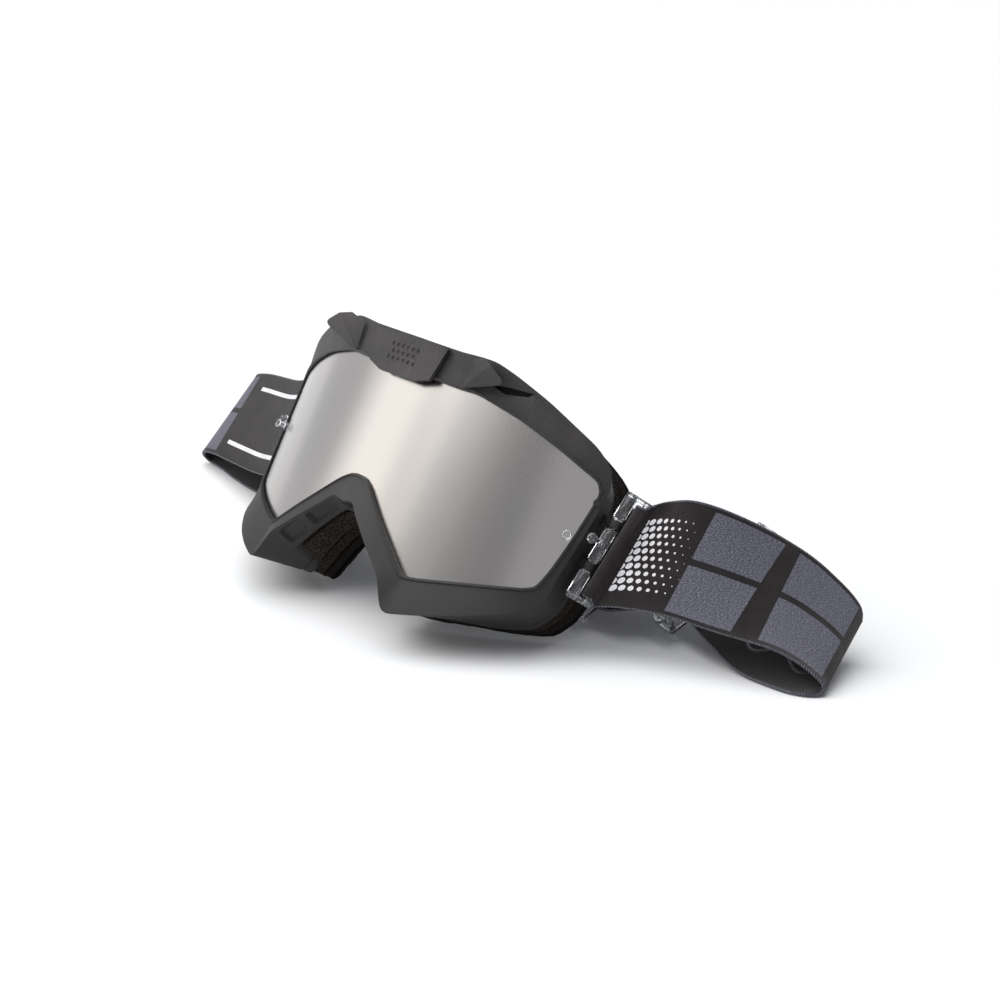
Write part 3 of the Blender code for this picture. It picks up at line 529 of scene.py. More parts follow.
def level_ring(ring, proud):
    return [on_lens(point[0], point[1], proud) for point in ring]


def flange_depth(x):
    """Y of the flange's rear face, which follows the curve of a face."""
    total = sum(layer[2] for layer in FOAM_LAYERS) + FOAM_GAP * len(FOAM_LAYERS)
    return 28.0 + 0.0052 * x * x - total


def at_flange(ring, shift=0.0):
    return [Vector((x, flange_depth(x) + shift, z)) for x, z in ring]


def mirrored_ring(half):
    left = [(-point[0],) + tuple(point[1:]) for point in half[1:-1]]
    return list(half) + left[::-1]


def lerp(first, second, share):
    return tuple(a + (b - a) * share for a, b in zip(first, second))


def lerp_rings(ring, other, share):
    return [lerp(a, b, share) for a, b in zip(ring, other)]


def refine(ring):
    return [lerp(start, end, step / STEPS)
            for start, end in zip(ring, ring[1:] + ring[:1]) for step in range(STEPS)]


def smooth_ring(ring, passes):
    for _ in range(passes):
        pairs = zip(ring[-1:] + ring[:-1], ring, ring[1:] + ring[:1])
        ring = [tuple((a + 2.0 * b + c) / 4.0 for a, b, c in zip(*triple)) for triple in pairs]
    return ring


def offset_ring(ring, distance):
    """Shift a closed (x, z) ring sideways, positive outwards."""
    area = sum(a[0] * b[1] - b[0] * a[1] for a, b in zip(ring, ring[1:] + ring[:1]))
    sign = 1.0 if area > 0.0 else -1.0
    result = []
    for index, point in enumerate(ring):
        here = Vector(point[:2])
        first = (here - Vector(ring[index - 1][:2])).normalized()
        second = (Vector(ring[(index + 1) % len(ring)][:2]) - here).normalized()
        normal_a = Vector((first.y, -first.x)) * sign
        normal_b = Vector((second.y, -second.x)) * sign
        mean = normal_a + normal_b
        mean = mean.normalized() if mean.length > 0.05 else normal_a
        stretch = min(1.35, 1.0 / max(0.3, mean.dot(normal_a)))
        moved = here + mean * distance * stretch
        result.append((moved.x, moved.y) + tuple(point[2:]))
    return result


def toward(ring, other, distance):
    """Points of ring moved a distance towards those of other, never past the middle."""
    return [lerp(a, b, min(0.5, distance / max(math.dist(a, b), 0.001))) for a, b in zip(ring, other)]


def loft(rings, closed=False):
    """Quads through rings of equal length, capped at both ends or closed into a loop."""
    bm = bmesh.new()
    rows = [[bm.verts.new(point) for point in ring] for ring in rings]
    for row, other in zip(rows, rows[1:] + rows[:1] if closed else rows[1:]):
        for k in range(len(row)):
            n = (k + 1) % len(row)
            bm.faces.new((row[k], row[n], other[n], other[k]))
    if not closed:
        bm.faces.new(rows[0])
        bm.faces.new(rows[-1])
    return bm


def circle(centre, first, second, radius, sides):
    angles = [math.tau * k / sides for k in range(sides)]
    return [centre + (first * math.cos(angle) + second * math.sin(angle)) * radius for angle in angles]


def turned(start, end, profile, sides=24):
    """Turned solid from (distance along, radius) points."""
    axis = (end - start).normalized()
    side = axis.orthogonal().normalized()
    other = axis.cross(side)
    return loft([circle(start + axis * along, side, other, radius, sides) for along, radius in profile])


def block(origin, axes, low, high):
    bm = bmesh.new()
    bmesh.ops.create_cube(bm, size=1.0)
    for vert in bm.verts:
        local = [a + (b - a) * (share + 0.5) for a, b, share in zip(low, high, vert.co)]
        vert.co = origin + axes[0] * local[0] + axes[1] * local[1] + axes[2] * local[2]
    return bm


def mirror_x(bm, side):
    """The drawing itself for the right side, mirrored for the left."""
    if side < 0:
        bmesh.ops.scale(bm, vec=(-1.0, 1.0, 1.0), verts=bm.verts)
        bmesh.ops.reverse_faces(bm, faces=bm.faces)
    return bm


def plate_on_lens(outline, front, back, step=2.0):
    """Plate bent to the lens cylinder from an (s, z) outline, cut finely so that it curves."""
    bm = bmesh.new()
    bm.faces.new([bm.verts.new((s, 0.0, z)) for s, z in outline])
    low = min(point[0] for point in outline)
    high = max(point[0] for point in outline)
    place = math.floor(low / step) * step + step
    while place < high - 0.01:
        geometry = bm.verts[:] + bm.edges[:] + bm.faces[:]
        bmesh.ops.bisect_plane(bm, geom=geometry, dist=0.01, plane_co=(place, 0, 0), plane_no=(1, 0, 0))
        place += step
    extruded = bmesh.ops.extrude_face_region(bm, geom=bm.faces[:])
    for item in extruded["geom"]:
        if isinstance(item, bmesh.types.BMVert):
            item.co.y = 1.0
    for vert in bm.verts:
        vert.co = on_lens(vert.co.x, vert.co.z, back if vert.co.y > 0.5 else front)
    return bm


# ---- materials
charcoal = moulded_plastic("charcoal_plastic", (0.0118, 0.0106, 0.0108), (0.0310, 0.0280, 0.0280), 0.56)
charcoal_dark = moulded_plastic("charcoal_band", (0.010, 0.0095, 0.010), (0.020, 0.019, 0.0195), 0.62)
mirror = mirror_lens("mirror_coat")
clear = clear_plastic("clear_polycarbonate")
foam_coarse = foam_material("open_cell_foam", (0.0050, 0.0040, 0.0034), (0.092, 0.072, 0.057), 850.0)
foam_fine = foam_material("closed_foam", (0.006, 0.005, 0.0045), (0.050, 0.041, 0.034), 1300.0)
fleece = foam_material("face_fleece", (0.004, 0.0038, 0.0038), (0.028, 0.026, 0.026), 2200.0)
print_side = webbing_face("webbing_print", ((25.0, 50.0, -0.16), (58.0, 84.5, -0.02)), fading_dots)
lines_side = webbing_face("webbing_lines", ((70.0, 96.0, -0.1),), edge_lines)
plain_side = webbing_face("webbing_plain")
edge_roll = webbing_edge("webbing_overlock")
inner_side = webbing_back("webbing_brushed")
grip = silicone("silicone_grip")


# ---- frame
inner_ring, outer_ring, rear_ring = [
    smooth_ring(refine(mirrored_ring([station[index] for station in STATIONS])), 3) for index in range(3)]
face_edge = lens_ring(outer_ring)
rear_edge = at_flange(rear_ring)
flange_inside = smooth_ring(offset_ring(rear_ring, -FLANGE_WIDTH), 16)


def stations_from_nose(k):
    """Distance of a ring point from the nose, counted in stations, the same on both sides."""
    number = k / STEPS
    return min(number, 2.0 * (len(STATIONS) - 1) - number)


def pocket_depth(k):
    """Depth of the pockets sunk into the wall round the nose."""
    place = stations_from_nose(k)
    if place < 0.75:
        return 3.6
    if 1.45 < place < 2.95 or 3.35 < place < 4.55:
        return 1.3
    return 0.0


def pad_depth(k):
    """How far the rear part of the wall steps back to seat the nose pad."""
    return NOSE_PAD_SEAT * min(1.0, max(0.0, (4.75 - stations_from_nose(k)) / 0.5))


def seam_depth(k):
    """Fine groove that runs round the wall near the flange."""
    return 0.45 + pad_depth(k)


def wall_point(k, share, depth):
    """Point on the side wall between its front and rear edges, sunk inwards by depth."""
    start, end = face_edge[k], rear_edge[k]
    point = start.lerp(end, share)
    if depth:
        along = face_edge[(k + 1) % len(face_edge)] - face_edge[k - 1]
        normal = along.cross(end - start).normalized()
        if normal.dot(point - WALL_CENTRE) > 0.0:
            normal = -normal
        point = point + normal * depth
    return point


def wall_ring(share, sink=None):
    return [wall_point(k, share, sink(k) if sink else 0.0) for k in range(len(face_edge))]


def frame_piece():
    groove = offset_ring(inner_ring, 2.3)
    wall_inner = offset_ring(outer_ring, -WALL)
    rings = [
        level_ring(inner_ring, 0.35),
        lens_ring(inner_ring, -0.1),
        lens_ring(toward(inner_ring, outer_ring, 0.9), 0.15),
        lens_ring(toward(inner_ring, outer_ring, 1.3), -0.45),
        lens_ring(toward(inner_ring, outer_ring, 1.9), -0.40),
        lens_ring(toward(outer_ring, inner_ring, 0.6)),
        face_edge,
        wall_ring(0.07),
        wall_ring(0.12, pocket_depth),
        wall_ring(0.36, pocket_depth),
        wall_ring(0.41),
        wall_ring(0.49),
        wall_ring(0.51, pad_depth),
        wall_ring(0.84, pad_depth),
        wall_ring(0.86, seam_depth),
        wall_ring(0.90, seam_depth),
        wall_ring(0.92, pad_depth),
        wall_ring(1.0, pad_depth),
        at_flange(flange_inside),
        at_flange(flange_inside, -FLANGE_THICKNESS),
        at_flange(offset_ring(rear_ring, -WALL), -FLANGE_THICKNESS),
        [on_lens(s, z, min(proud, 0.0) - 5.0) for s, z, proud in wall_inner],
        level_ring(offset_ring(inner_ring, 2.9), -4.0),
        level_ring(inner_ring, -4.0),
        level_ring(inner_ring, -2.2),
        level_ring(groove, -2.2),
        level_ring(groove, 0.35),
    ]
    obj = new_object(loft(rings, closed=True), "frame_shell", charcoal, sharp=30.0)
    slots = []
    for side, _ in SIDES:
        slot = mirror_x(plate_on_lens(BROW_SLOT, 9.0, -2.2), side)
        slots.append(new_object(slot, "slot", charcoal_dark, sharp=30.0))
    cut(obj, join(slots, "cutter"))
    return bevel(obj, 0.28, 2, 28.0)


def lug_piece(along, side):
    """Clip on the temple that holds a neck of the outrigger's hinge rail."""
    centre = BAR_MIDDLE + BAR_AXIS * along
    inward = Vector((-0.93, -0.02, 0.0))
    inward = (inward - BAR_AXIS * inward.dot(BAR_AXIS)).normalized()
    across = BAR_AXIS.cross(inward)
    half = 1.6
    rings = [circle(centre + BAR_AXIS * level, inward, across, radius, 28)
             for level, radius in ((-half, 1.8), (-half, 2.5), (half, 2.5), (half, 1.8))]
    ring = new_object(mirror_x(loft(rings, closed=True), side), "lug_ring", charcoal)
    web = block(centre, (inward, across, BAR_AXIS), (2.05, -1.7, -half + 0.2), (5.4, 1.7, half - 0.2))
    web = new_object(mirror_x(web, side), "lug_web", charcoal)
    return [bevel(ring, 0.25), bevel(web, 0.3)]


frame_shell = frame_piece()
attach(frame_shell, "goggles")
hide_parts("frame")
for side, label in SIDES:
    lugs = [part for place in LUG_PLACES for part in lug_piece(place, side)]
    clips = join(lugs, f"hinge_clips_{label}")
    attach(clips, "goggles")


# ---- lens
def lens_piece():
    """Bent lens whose shading normals follow the cylinder, so that reflections stay smooth."""
    outline = offset_ring([point[:2] for point in inner_ring], 1.7)
    obj = new_object(plate_on_lens(outline, 0.0, -1.6, step=1.5), "lens_shield", mirror, sharp=60.0)
    mesh = obj.data
    turn = POSE.to_3x3().normalized()
    to_drawing = POSE.inverted()
    normals = [None] * len(mesh.loops)
    for polygon in mesh.polygons:
        flat = turn.inverted() @ polygon.normal
        for index in polygon.loop_indices:
            local = to_drawing @ mesh.vertices[mesh.loops[index].vertex_index].co
            radial = Vector((local.x, local.y - LENS_RADIUS, 0.0)).normalized()
            amount = flat.dot(radial)
            chosen = radial if amount > 0.7 else (-radial if amount < -0.7 else flat)
            normals[index] = tuple(turn @ chosen)
    mesh.normals_split_custom_set(normals)
    return obj


lens = lens_piece()
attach(lens, "goggles")
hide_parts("lens")

tabs = []
for side, _ in SIDES:
    for s, z, radius in ((90.4, 21.8, 1.5), (90.3, 25.9, 0.8)):
        rounded = ((0.0, radius - 0.25), (0.25, radius), (0.75, radius), (1.0, radius - 0.25))
        tab = turned(on_lens(s, z, 0.1), on_lens(s, z, 1.1), rounded)
        tabs.append(new_object(mirror_x(tab, side), "tab", charcoal_dark, sharp=40.0))
lens_tabs = join(tabs, "lens_tabs")
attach(lens_tabs, "goggles")

for side, label in SIDES:
    stud = turned(on_lens(84.9, 7.5, 0.3), on_lens(84.9, 7.5, 4.6), STUD_PROFILE)
    post = new_object(mirror_x(stud, side), f"tear_off_stud_{label}", clear)
    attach(post, "goggles")
    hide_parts(f"lens_post_{label}")


# ---- brow badge and scoops
def badge_piece():
    """Plain brow plate with a grid of small dimples."""
    outline = ((-18.6, 52.6), (-16.0, 40.0), (-8.5, 37.6), (8.5, 37.6), (16.0, 40.0), (18.6, 52.6))
    plate = new_object(plate_on_lens(outline, 4.2, 2.5), "brow_plate", charcoal, sharp=30.0)
    dimples = []
    for row in range(3):
        for column in range(6 - row % 2):
            s = -6.5 + 2.6 * column + 1.3 * (row % 2)
            z = 43.2 + 2.5 * row
            pit = ((0.0, 0.55), (0.45, 0.85), (2.2, 0.95))
            tool = turned(on_lens(s, z, 3.75), on_lens(s, z, 6.0), pit, 14)
            dimples.append(new_object(tool, "dimple", charcoal_dark, sharp=30.0))
    cut(plate, join(dimples, "cutter"))
    return bevel(plate, 0.14, 2, 28.0)


badge = badge_piece()
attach(badge, "goggles")
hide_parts("brow_badge")


def scoop_piece(side, label):
    """Wedge-shaped air scoop with a rounded tip and a shallow mouth under it."""
    bm = bmesh.new()
    top, low = [[bm.verts.new(on_lens(*point)) for point in points] for points in (SCOOP_TOP, SCOOP_LOW)]
    bm.faces.new(top)
    bm.faces.new(low)
    for k in range(len(top)):
        n = (k + 1) % len(top)
        bm.faces.new((top[k], top[n], low[n], low[k]))
    tip = bm.edges.get((top[-1], low[-1]))
    bmesh.ops.bevel(bm, geom=[tip], offset=2.0, segments=4, profile=0.5, affect="EDGES")
    bmesh.ops.triangulate(bm, faces=bm.faces)
    obj = new_object(mirror_x(bm, side), f"air_scoop_{label}", charcoal, sharp=20.0)
    corners = ((-1.5, 0.0), (2.6, 0.0), (2.6, 1.0), (-1.5, 0.7))
    mouth = loft([[on_lens(s, z + rise, proud + up) for rise, up in corners]
                  for s, z, proud in ((37.5, 43.8, 4.6), (45.6, 46.0, 8.1))])
    cut(obj, new_object(mirror_x(mouth, side), "cutter", charcoal_dark, sharp=20.0))
    return bevel(obj, 0.22, 2, 18.0)


for side, label in SIDES:
    scoop = scoop_piece(side, label)
    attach(scoop, "goggles")
    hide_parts(f"brow_scoop_{label}")


# ---- foam
def roughen(bm, scales, weights, level, amount):
    """Push the surface in and out by two sizes of noise, about a level."""
    bm.normal_update()
    for vert in bm.verts:
        value = sum(noise.noise(vert.co * scale) * weight for scale, weight in zip(scales, weights))
        vert.co += vert.normal * (value - level) * amount


def foam_profile(thickness, rounding, count=10):
    """Cross-section of a foam layer as (share across, height), with a rounded face."""
    profile = []
    for step in range(count + 1):
        edge = min(step / count, 1.0 - step / count) * FOAM_WIDTH
        drop = rounding - math.sqrt(max(0.0, rounding ** 2 - max(0.0, rounding - edge) ** 2))
        profile.append((step / count, thickness - drop))
    side = thickness - rounding
    profile += [(1.0, side * (1.0 - step / 4.0)) for step in range(5)]
    profile += [(1.0 - step / count, 0.0) for step in range(1, count)]
    return profile + [(0.0, side * (step / 4.0)) for step in range(4)]


def foam_ring(name, front, thickness, mat, rounding):
    outer = lerp_rings(rear_ring, flange_inside, FOAM_INSET / FLANGE_WIDTH)
    inner = smooth_ring(lerp_rings(rear_ring, flange_inside, (FOAM_INSET + FOAM_WIDTH) / FLANGE_WIDTH), 16)
    bm = loft([at_flange(lerp_rings(outer, inner, across), front + height)
               for across, height in foam_profile(thickness, rounding)], closed=True)
    bmesh.ops.recalc_face_normals(bm, faces=bm.faces)
    roughen(bm, (0.55, 1.7), (0.6, 0.4), 0.35, 0.28)
    return new_object(bm, name, mat, sharp=75.0)


front = FOAM_GAP
for (node, piece, thickness, rounding, slot), mat in zip(FOAM_LAYERS, (foam_coarse, foam_fine, fleece)):
    ring = foam_ring(piece, front, thickness, mat, rounding)
    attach(ring, "goggles")
    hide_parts(node)
    front += thickness + FOAM_GAP


def nose_pad_piece():
    """Coarse foam pad on the wall's step round the nose, flush with the wall in front of it."""
    half = int(4.55 * STEPS)
    sections = []
    for k in range(-half, half + 1):
        ease = min(1.0, (half - abs(k)) / 3.0)
        crown = NOSE_PAD_SEAT - 0.3 - 2.1 * ease
        bottom = [wall_point(k, share, NOSE_PAD_SEAT - 0.15) for share in (0.98, 0.75, 0.54)]
        sections.append(bottom + [wall_point(k, share, crown) for share in (0.57, 0.66, 0.76, 0.86, 0.95)])
    bm = loft(sections)
    bmesh.ops.recalc_face_normals(bm, faces=bm.faces)
    bmesh.ops.subdivide_edges(bm, edges=bm.edges, cuts=2, use_grid_fill=True)
    roughen(bm, (0.6, 1.9), (0.5, 0.5), 0.3, 0.25)
    return new_object(bm, "foam_nose_pad", foam_coarse, sharp=60.0)


nose_pad = nose_pad_piece()
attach(nose_pad, "goggles")


# ---- outriggers
def outrigger_piece(side, label):
    """Clear outrigger: hinge rail with two necks, strap rail, end plates and a ball-headed post."""
    start = BAR_MIDDLE - BAR_AXIS * BAR_HALF
    end = BAR_MIDDLE + BAR_AXIS * BAR_HALF
    profile = [(0.0, 2.0), (0.25, 2.3)]
    for place in LUG_PLACES:
        neck = ((-2.3, 2.3), (-2.05, 2.1), (-1.9, 1.5), (1.9, 1.5), (2.05, 2.1), (2.3, 2.3))
        profile += [(place + BAR_HALF + along, radius) for along, radius in neck]
    profile += [(2.0 * BAR_HALF - 0.25, 2.3), (2.0 * BAR_HALF, 2.0)]
    body = new_object(mirror_x(turned(start, end, profile, 8), side), "rail", clear, sharp=25.0)
    parts = [bevel(body, 0.2, 2, 25.0)]
    shift = BAR_OUT * RAIL_OFFSET
    rail = turned(start + shift + BAR_AXIS * 0.8, end + shift - BAR_AXIS * 0.8,
                  ((0.0, RAIL_RADIUS), (41.2, RAIL_RADIUS)), 20)
    parts.append(new_object(mirror_x(rail, side), "strap_rail", clear))
    for sign in (-1.0, 1.0):
        centre = BAR_MIDDLE + BAR_AXIS * sign * (BAR_HALF - 0.15)
        low = (-1.0, -1.9, min(0.0, -sign * 1.6))
        high = (RAIL_OFFSET + 1.7, 1.9, max(0.0, -sign * 1.6) + 0.4 * (sign < 0))
        plate = block(centre, (BAR_OUT, BAR_AHEAD, BAR_AXIS), low, high)
        parts.append(bevel(new_object(mirror_x(plate, side), "end_plate", clear), 0.35))
    direction = Vector((0.14, -0.99, 0.0)).normalized()
    foot = BAR_MIDDLE + BAR_AXIS + direction * 1.4
    length, ball_radius, neck_radius = 8.2, 1.9, 0.9
    ball = [(0.0, 1.0), (length - 3.7, neck_radius)]
    for step in range(1, 12):
        angle = math.pi * step / 12.0
        radius = max(neck_radius if step < 3 else 0.3, ball_radius * math.sin(angle))
        ball.append((length - ball_radius - ball_radius * math.cos(angle), radius))
    post = turned(foot, foot + direction * length, ball, 20)
    parts.append(new_object(mirror_x(post, side), "post", clear))
    return join(parts, f"clear_outrigger_{label}")


for side, label in SIDES:
    outrigger = outrigger_piece(side, label)
    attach(outrigger, f"outrigger_{label}")
    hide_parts(f"outrigger_{label}")


# ---- strap
def curve_point(points, position):
    """Point on the Catmull-Rom curve through the points; whole positions are the points."""
    last = len(points) - 1
    index = min(int(position), last - 1)
    t = position - index
    p0, p1, p2, p3 = [points[min(max(index + step, 0), last)] for step in (-1, 0, 1, 2)]
    return 0.5 * ((2.0 * p1) + (p2 - p0) * t + (2.0 * p0 - 5.0 * p1 + 4.0 * p2 - p3) * t * t
                  + (3.0 * p1 - p0 - 3.0 * p2 + p3) * t * t * t)


def strap_pairs(sections, step):
    """Evenly spaced (lower edge, upper edge, distance along) through the strap sections."""
    lower = [Vector(section[0]) for section in sections]
    upper = [Vector(section[1]) for section in sections]
    dense = [(curve_point(lower, k / 24.0), curve_point(upper, k / 24.0))
             for k in range((len(sections) - 1) * 24 + 1)]
    travelled = [0.0]
    for first, second in zip(dense, dense[1:]):
        travelled.append(travelled[-1] + ((second[0] + second[1]) - (first[0] + first[1])).length / 2.0)
    count = round(travelled[-1] / step)
    result = []
    index = 0
    for k in range(count + 1):
        target = travelled[-1] * k / count
        while index < len(travelled) - 2 and travelled[index + 1] < target:
            index += 1
        share = (target - travelled[index]) / (travelled[index + 1] - travelled[index])
        low, high = [a.lerp(b, share) for a, b in zip(dense[index], dense[index + 1])]
        middle = (low + high) / 2.0
        half = (high - low).normalized() * STRAP_WIDTH / 2.0
        result.append([middle - half, middle + half, target])
    return result


def with_normals(pairs):
    """Frames (lower edge, upper edge, travel, normal, distance), lifted clear of the floor."""
    frames = []
    for index, (low, high, distance) in enumerate(pairs):
        before = pairs[max(index - 1, 0)]
        after = pairs[min(index + 1, len(pairs) - 1)]
        travel = ((after[0] + after[1]) - (before[0] + before[1])).normalized()
        normal = travel.cross(high - low).normalized()
        rise = Vector((0.0, 0.0, max(0.0, abs(normal.z) * 0.8 + 0.05 - low.z)))
        frames.append((low + rise, high + rise, travel, normal, distance))
    return frames


def webbing_skin(sections, across, distances, slots):
    """Webbing through sections of equal length, with UVs in metres along and across it."""
    bm = bmesh.new()
    uv_layer = bm.loops.layers.uv.new("webbing")
    rows = [[bm.verts.new(point) for point in section] for section in sections]
    for index in range(len(rows) - 1):
        for k in range(len(across)):
            n = (k + 1) % len(across)
            corners = ((index, k), (index + 1, k), (index + 1, n), (index, n))
            face = bm.faces.new([rows[row][column] for row, column in corners])
            face.material_index = slots[k]
            for loop, (row, column) in zip(face.loops, corners):
                loop[uv_layer].uv = (distances[row] * MM, across[column] * MM)
    for row in (rows[0], rows[-1]):
        bm.faces.new(row).material_index = slots[-1]
    return bm


def strap_profile():
    """Cross-section round the webbing as (share across, shift across, shift outwards, material)."""
    points = []
    for up, slot, past in ((1.0, 0, 0.30), (-1.0, 2, -0.05)):
        for k in range(FACE_STEPS + 1):
            share = k / FACE_STEPS if up > 0.0 else 1.0 - k / FACE_STEPS
            inset = 0.5 * ((share == 0.0) - (share == 1.0))
            points.append((share, inset, up * WEBBING_DRAWN / 2.0, slot))
        for k in range(1, EDGE_STEPS):
            angle = math.pi * k / EDGE_STEPS
            shift = up * (EDGE_ROLL * (math.sin(angle) - 1.0) + past)
            points.append(((1.0 + up) / 2.0, shift, up * EDGE_ROLL * math.cos(angle), 1))
    return points


def strap_piece(name, frames, outer, inner, offset=None):
    """Webbing through the frames: outer side, rolled edges and inner side."""
    profile = strap_profile()
    sections = []
    for index, (low, high, _, normal, _) in enumerate(frames):
        width = (high - low).normalized()
        shift = normal * (offset[index] if offset else 0.0)
        sections.append([low.lerp(high, share) + width * aside + normal * out + shift
                         for share, aside, out, _ in profile])
    across = [(share - 0.5) * STRAP_WIDTH + (out if slot == 1 else 0.0) for share, _, out, slot in profile]
    slots = [here[3] if here[3] == after[3] else 1 for here, after in zip(profile, profile[1:] + profile[:1])]
    bm = webbing_skin(sections, across, [item[4] for item in frames], slots)
    return new_object(bm, name, outer, edge_roll, inner, sharp=60.0, pose=FLOOR)


def at_rail(share, along, height):
    """Point of a sewn end, at a share of the rail's length from -1 to 1."""
    return BAR_MIDDLE + BAR_AXIS * share * (BAR_HALF - HEM_INSET) + BAR_OUT * along + BAR_AHEAD * height


def rail_slant(along):
    """The strap leaves the rail at a slant."""
    return BAR_AXIS * 0.39 * max(0.0, along - RAIL_OFFSET)


def hem_pairs(side):
    """Strap sections that wrap the webbing's outer layer round the strap rail, in floor coordinates."""
    lean = Matrix.Rotation(-LEAN, 4, "X")
    places = [(RAIL_OFFSET - OUTER_FOLD * math.sin(math.pi * share), -OUTER_FOLD * math.cos(math.pi * share))
              for share in (0.50, 0.58, 0.66, 0.74, 0.82, 0.90, 0.97)]
    places += [(RAIL_OFFSET + 0.9, OUTER_FOLD)]
    result = []
    for index, (along, height) in enumerate(places):
        pair = []
        for end in (-1.0, 1.0):
            point = at_rail(end, along, height) + rail_slant(along)
            point.x *= side
            pair.append(lean @ point + Vector((0.0, 0.0, LENS_ORIGIN_HEIGHT)))
        result.append([pair[0], pair[1], index - 1.0 - len(places)])
    return result


drawn = strap_pairs(STRAP_RIGHT + STRAP_REAR + STRAP_LEFT, 2.0)
strap_length = drawn[-1][2]
ending = [[low, high, strap_length - distance] for low, high, distance in reversed(hem_pairs(-1))]
whole = with_normals(hem_pairs(1) + drawn + ending)


def nearest_index(x, y, low, high):
    """Index of the frame between two shares of the length whose middle is nearest to a floor point."""
    def gap(index):
        return (((whole[index][0] + whole[index][1]) / 2.0).xy - Vector((x, y))).length

    return min([index for index, item in enumerate(whole)
                if low * strap_length <= item[4] <= high * strap_length], key=gap)


cut_right = nearest_index(112.5, 79.2, 0.2, 0.6)
cut_left = nearest_index(-93.8, 71.6, 0.4, 0.9)
right_web = strap_piece("webbing_right", whole[:cut_right + 1], print_side, inner_side)
rear_web = strap_piece("webbing_rear", whole[cut_right:cut_left + 1], plain_side, inner_side)
from_left_bar = [(*item[:4], strap_length - item[4]) for item in whole[cut_left:]]
left_web = strap_piece("webbing_left", from_left_bar, lines_side, inner_side)
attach(rear_web, "goggles")
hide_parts("strap_rear")
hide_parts("strap_right")
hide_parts("strap_left")
for piece, label, side, reach in ((right_web, "right", 1, 36.0), (left_web, "left", -1, 27.0)):
    bar_middle = Vector((92.0 * side, 42.0, 36.0))
    direction = Vector((0.5 * side, 0.75, -0.43))
    tuple(FLOOR @ (bar_middle + direction * reach))
    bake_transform(piece)


def hem_piece(side, label):
    """Sewn end of the webbing, folded round the strap rail."""
    fold = RAIL_RADIUS + TAIL_GAP + WEBBING / 2.0
    path = [(RAIL_OFFSET + 1.2, -fold), (RAIL_OFFSET + 0.5, -fold)]
    for step in range(1, 16):
        angle = math.pi * step / 16.0
        path.append((RAIL_OFFSET - fold * math.sin(angle), -fold * math.cos(angle)))
    path += [(RAIL_OFFSET + 0.5, fold), (RAIL_OFFSET + 1.2, fold)]
    shares = [k / 10.0 for k in range(11)] + [1.0 - k / 10.0 for k in range(11)]
    layers = [-0.66] * 11 + [0.66] * 11
    sections = []
    for index, (along, height) in enumerate(path):
        before = Vector(path[max(index - 1, 0)])
        after = Vector(path[min(index + 1, len(path) - 1)])
        tangent = (after - before).normalized()
        sections.append([at_rail(share * 2.0 - 1.0, along - tangent.y * layer, height + tangent.x * layer)
                         + rail_slant(along) for share, layer in zip(shares, layers)])
    across = [(share - 0.5) * STRAP_WIDTH for share in shares]
    bm = webbing_skin(sections, across, [0.6 * row for row in range(len(path))], [0] * len(across))
    obj = new_object(mirror_x(bm, side), f"webbing_hem_{label}", plain_side, sharp=50.0)
    return bevel(obj, 0.2, 2, 40.0)


for side, label in SIDES:
    hem = hem_piece(side, label)
    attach(hem, f"outrigger_{label}")
    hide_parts(f"strap_hem_{label}")


# ---- tail, sliders and grip
rear_cad = with_normals(strap_pairs((((115.0, 61.3, 6.0), (109.6, 97.3, 24.6)),) + STRAP_REAR, 1.1))


def tail_piece():
    """Doubled-back end of the strap, which bulges between the sliders."""
    chosen = [item for item in rear_cad if TAIL_START <= item[4] <= TAIL_START + TAIL_LENGTH]
    shifts = []
    for item in chosen:
        share = (item[4] - TAIL_START) / TAIL_LENGTH
        inside = min(1.0, max(0.0, (share - 0.32) / 0.36))
        shifts.append(-(WEBBING + TAIL_GAP + 3.4 * math.sin(math.pi * inside)))
    return rest_on_floor(strap_piece("webbing_tail", chosen, inner_side, plain_side, offset=shifts))


tail = tail_piece()
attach(tail, "goggles")
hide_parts("strap_tail")


def grip_piece():
    """Two wavy silicone beads on the inner side of the strap's rear stretch."""
    swing, period = 3.2, 3.4
    objects = []
    for line in (-1.0, 1.0):
        for first, last in ((cut_right - 22, cut_right - 2), (cut_right + 34, cut_left - 4)):
            sections = []
            for low, high, travel, normal, distance in whole[first:last]:
                width = (high - low).normalized()
                across = line * 7.0 + swing * math.sin(distance / period)
                centre = (low + high) / 2.0 + width * across - normal * 0.62
                forward = (travel + width * (swing / period * math.cos(distance / period))).normalized()
                sideways = forward.cross(normal).normalized()
                sections.append(circle(centre, sideways * 0.75, normal * -0.42, 1.0, 10))
            objects.append(new_object(loft(sections), "bead", grip, sharp=60.0, pose=FLOOR))
    return join(objects, "silicone_beads")


beads = grip_piece()
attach(beads, "goggles")


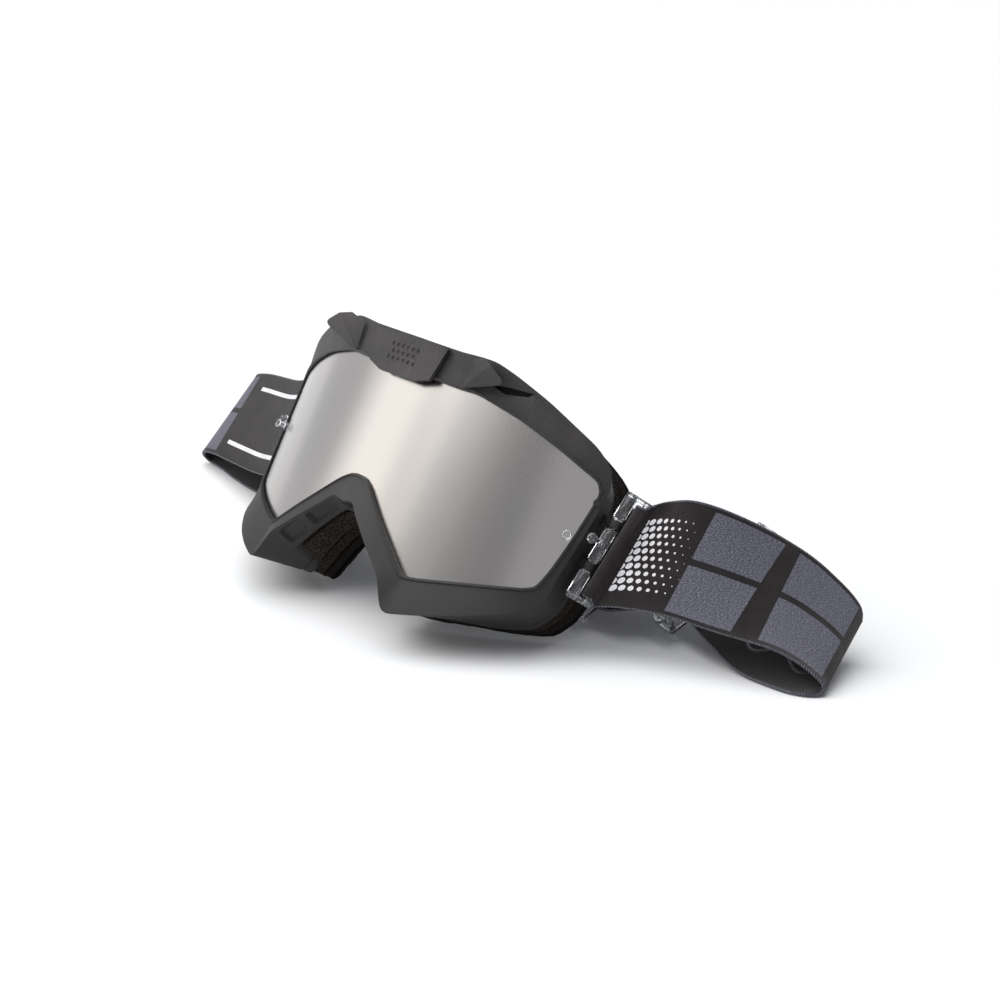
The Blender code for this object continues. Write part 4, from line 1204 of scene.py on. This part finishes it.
def slider_piece(name, distance):
    """Clear tri-glide: side bars outside, centre bar inside, thick rounded ends."""
    low, high, travel, _, _ = min(rear_cad, key=lambda item: abs(item[4] - distance))
    middle = (low + high) / 2.0
    width = (high - low).normalized()
    width = (width - travel * width.dot(travel)).normalized()
    outer = WEBBING / 2.0 + SLIDER_GAP
    inner = -(1.5 * WEBBING + TAIL_GAP + SLIDER_GAP)
    reach = STRAP_WIDTH / 2.0 + 3.2
    end = reach + 2.4
    bar = end - 1.2
    top = outer + 1.2
    bottom = inner - 1.2
    boxes = (((-5.2, -end, bottom), (5.2, -reach, top)), ((-5.2, reach, bottom), (5.2, end, top)),
             ((-5.1, -bar, outer), (-2.9, bar, top - 0.1)), ((2.9, -bar, outer), (5.1, bar, top - 0.1)),
             ((-1.3, -bar, bottom + 0.1), (1.3, bar, inner)))
    parts = []
    for corners in boxes:
        box = block(middle, (travel, width, travel.cross(width)), *corners)
        parts.append(bevel(new_object(box, "slider_part", clear, pose=FLOOR), 0.6, 3))
    return rest_on_floor(join(parts, name))


for name, node, distance in (("tri_glide_end", "slider_end", 16.6),
                             ("tri_glide_length", "slider_length", 55.3)):
    slider = slider_piece(name, distance)
    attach(slider, node)
    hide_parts(node)


# ---- floor and light
bpy.ops.mesh.primitive_plane_add(size=16.0, location=(0.0, 0.0, 0.0))
ground = bpy.context.object
ground.name = "studio_ground"
ground.data.materials.append(floor_material())


def add_light(name, kind, power):
    light = bpy.data.lights.new(name, kind)
    light.energy = power
    return light, add_object(name, light)


def softbox(name, direction, distance, size, power, color):
    """Rectangular light at a distance from the goggles, aimed at them."""
    light, obj = add_light(name, "AREA", power)
    light.shape = "RECTANGLE"
    light.size, light.size_y = size
    light.color = color
    centre = Vector((0.0, -0.03, 0.06))
    obj.location = centre + Vector(direction).normalized() * distance
    obj.rotation_euler = (centre - obj.location).to_track_quat("-Z", "Y").to_euler()


sun, sun_obj = add_light("overhead", "SUN", 2.75)
sun.angle = math.radians(75.0)
sun_obj.rotation_euler = (math.radians(16.0), math.radians(-13.0), 0.0)
softbox("band", (-0.674, -0.586, 0.46), 1.5, (0.50, 1.5), 2.4, (1.0, 0.955, 0.90))
softbox("band_edge", (-0.638, -0.625, 0.46), 1.56, (1.20, 1.5), 4.4, (1.0, 0.965, 0.925))
softbox("left_fill", (-0.97, -0.10, 0.22), 1.9, (1.9, 1.3), 3.9, (0.97, 0.98, 1.0))
softbox("right_fill", (0.66, -0.60, 0.46), 1.8, (1.1, 1.4), 1.7, (0.97, 0.95, 1.0))

scene = bpy.context.scene
world = bpy.data.worlds.new("studio")
scene.world = world
world.use_nodes = True
background = world.node_tree.nodes["Background"]
background.inputs[0].default_value = (0.93, 0.95, 1.0, 1.0)
background.inputs[1].default_value = 0.33
scene.view_settings.view_transform = "Standard"

camera = bpy.data.cameras.new("camera")
camera.lens = 132.94
camera.sensor_width = 36.0
camera.clip_start = 0.05
camera_obj = add_object("camera", camera)
camera_obj.location = (0.965635, -0.837229, 0.498346)
camera_obj.rotation_euler = Vector((-0.70063, 0.62549, -0.34335)).to_track_quat("-Z", "Y").to_euler()
scene.camera = camera_obj
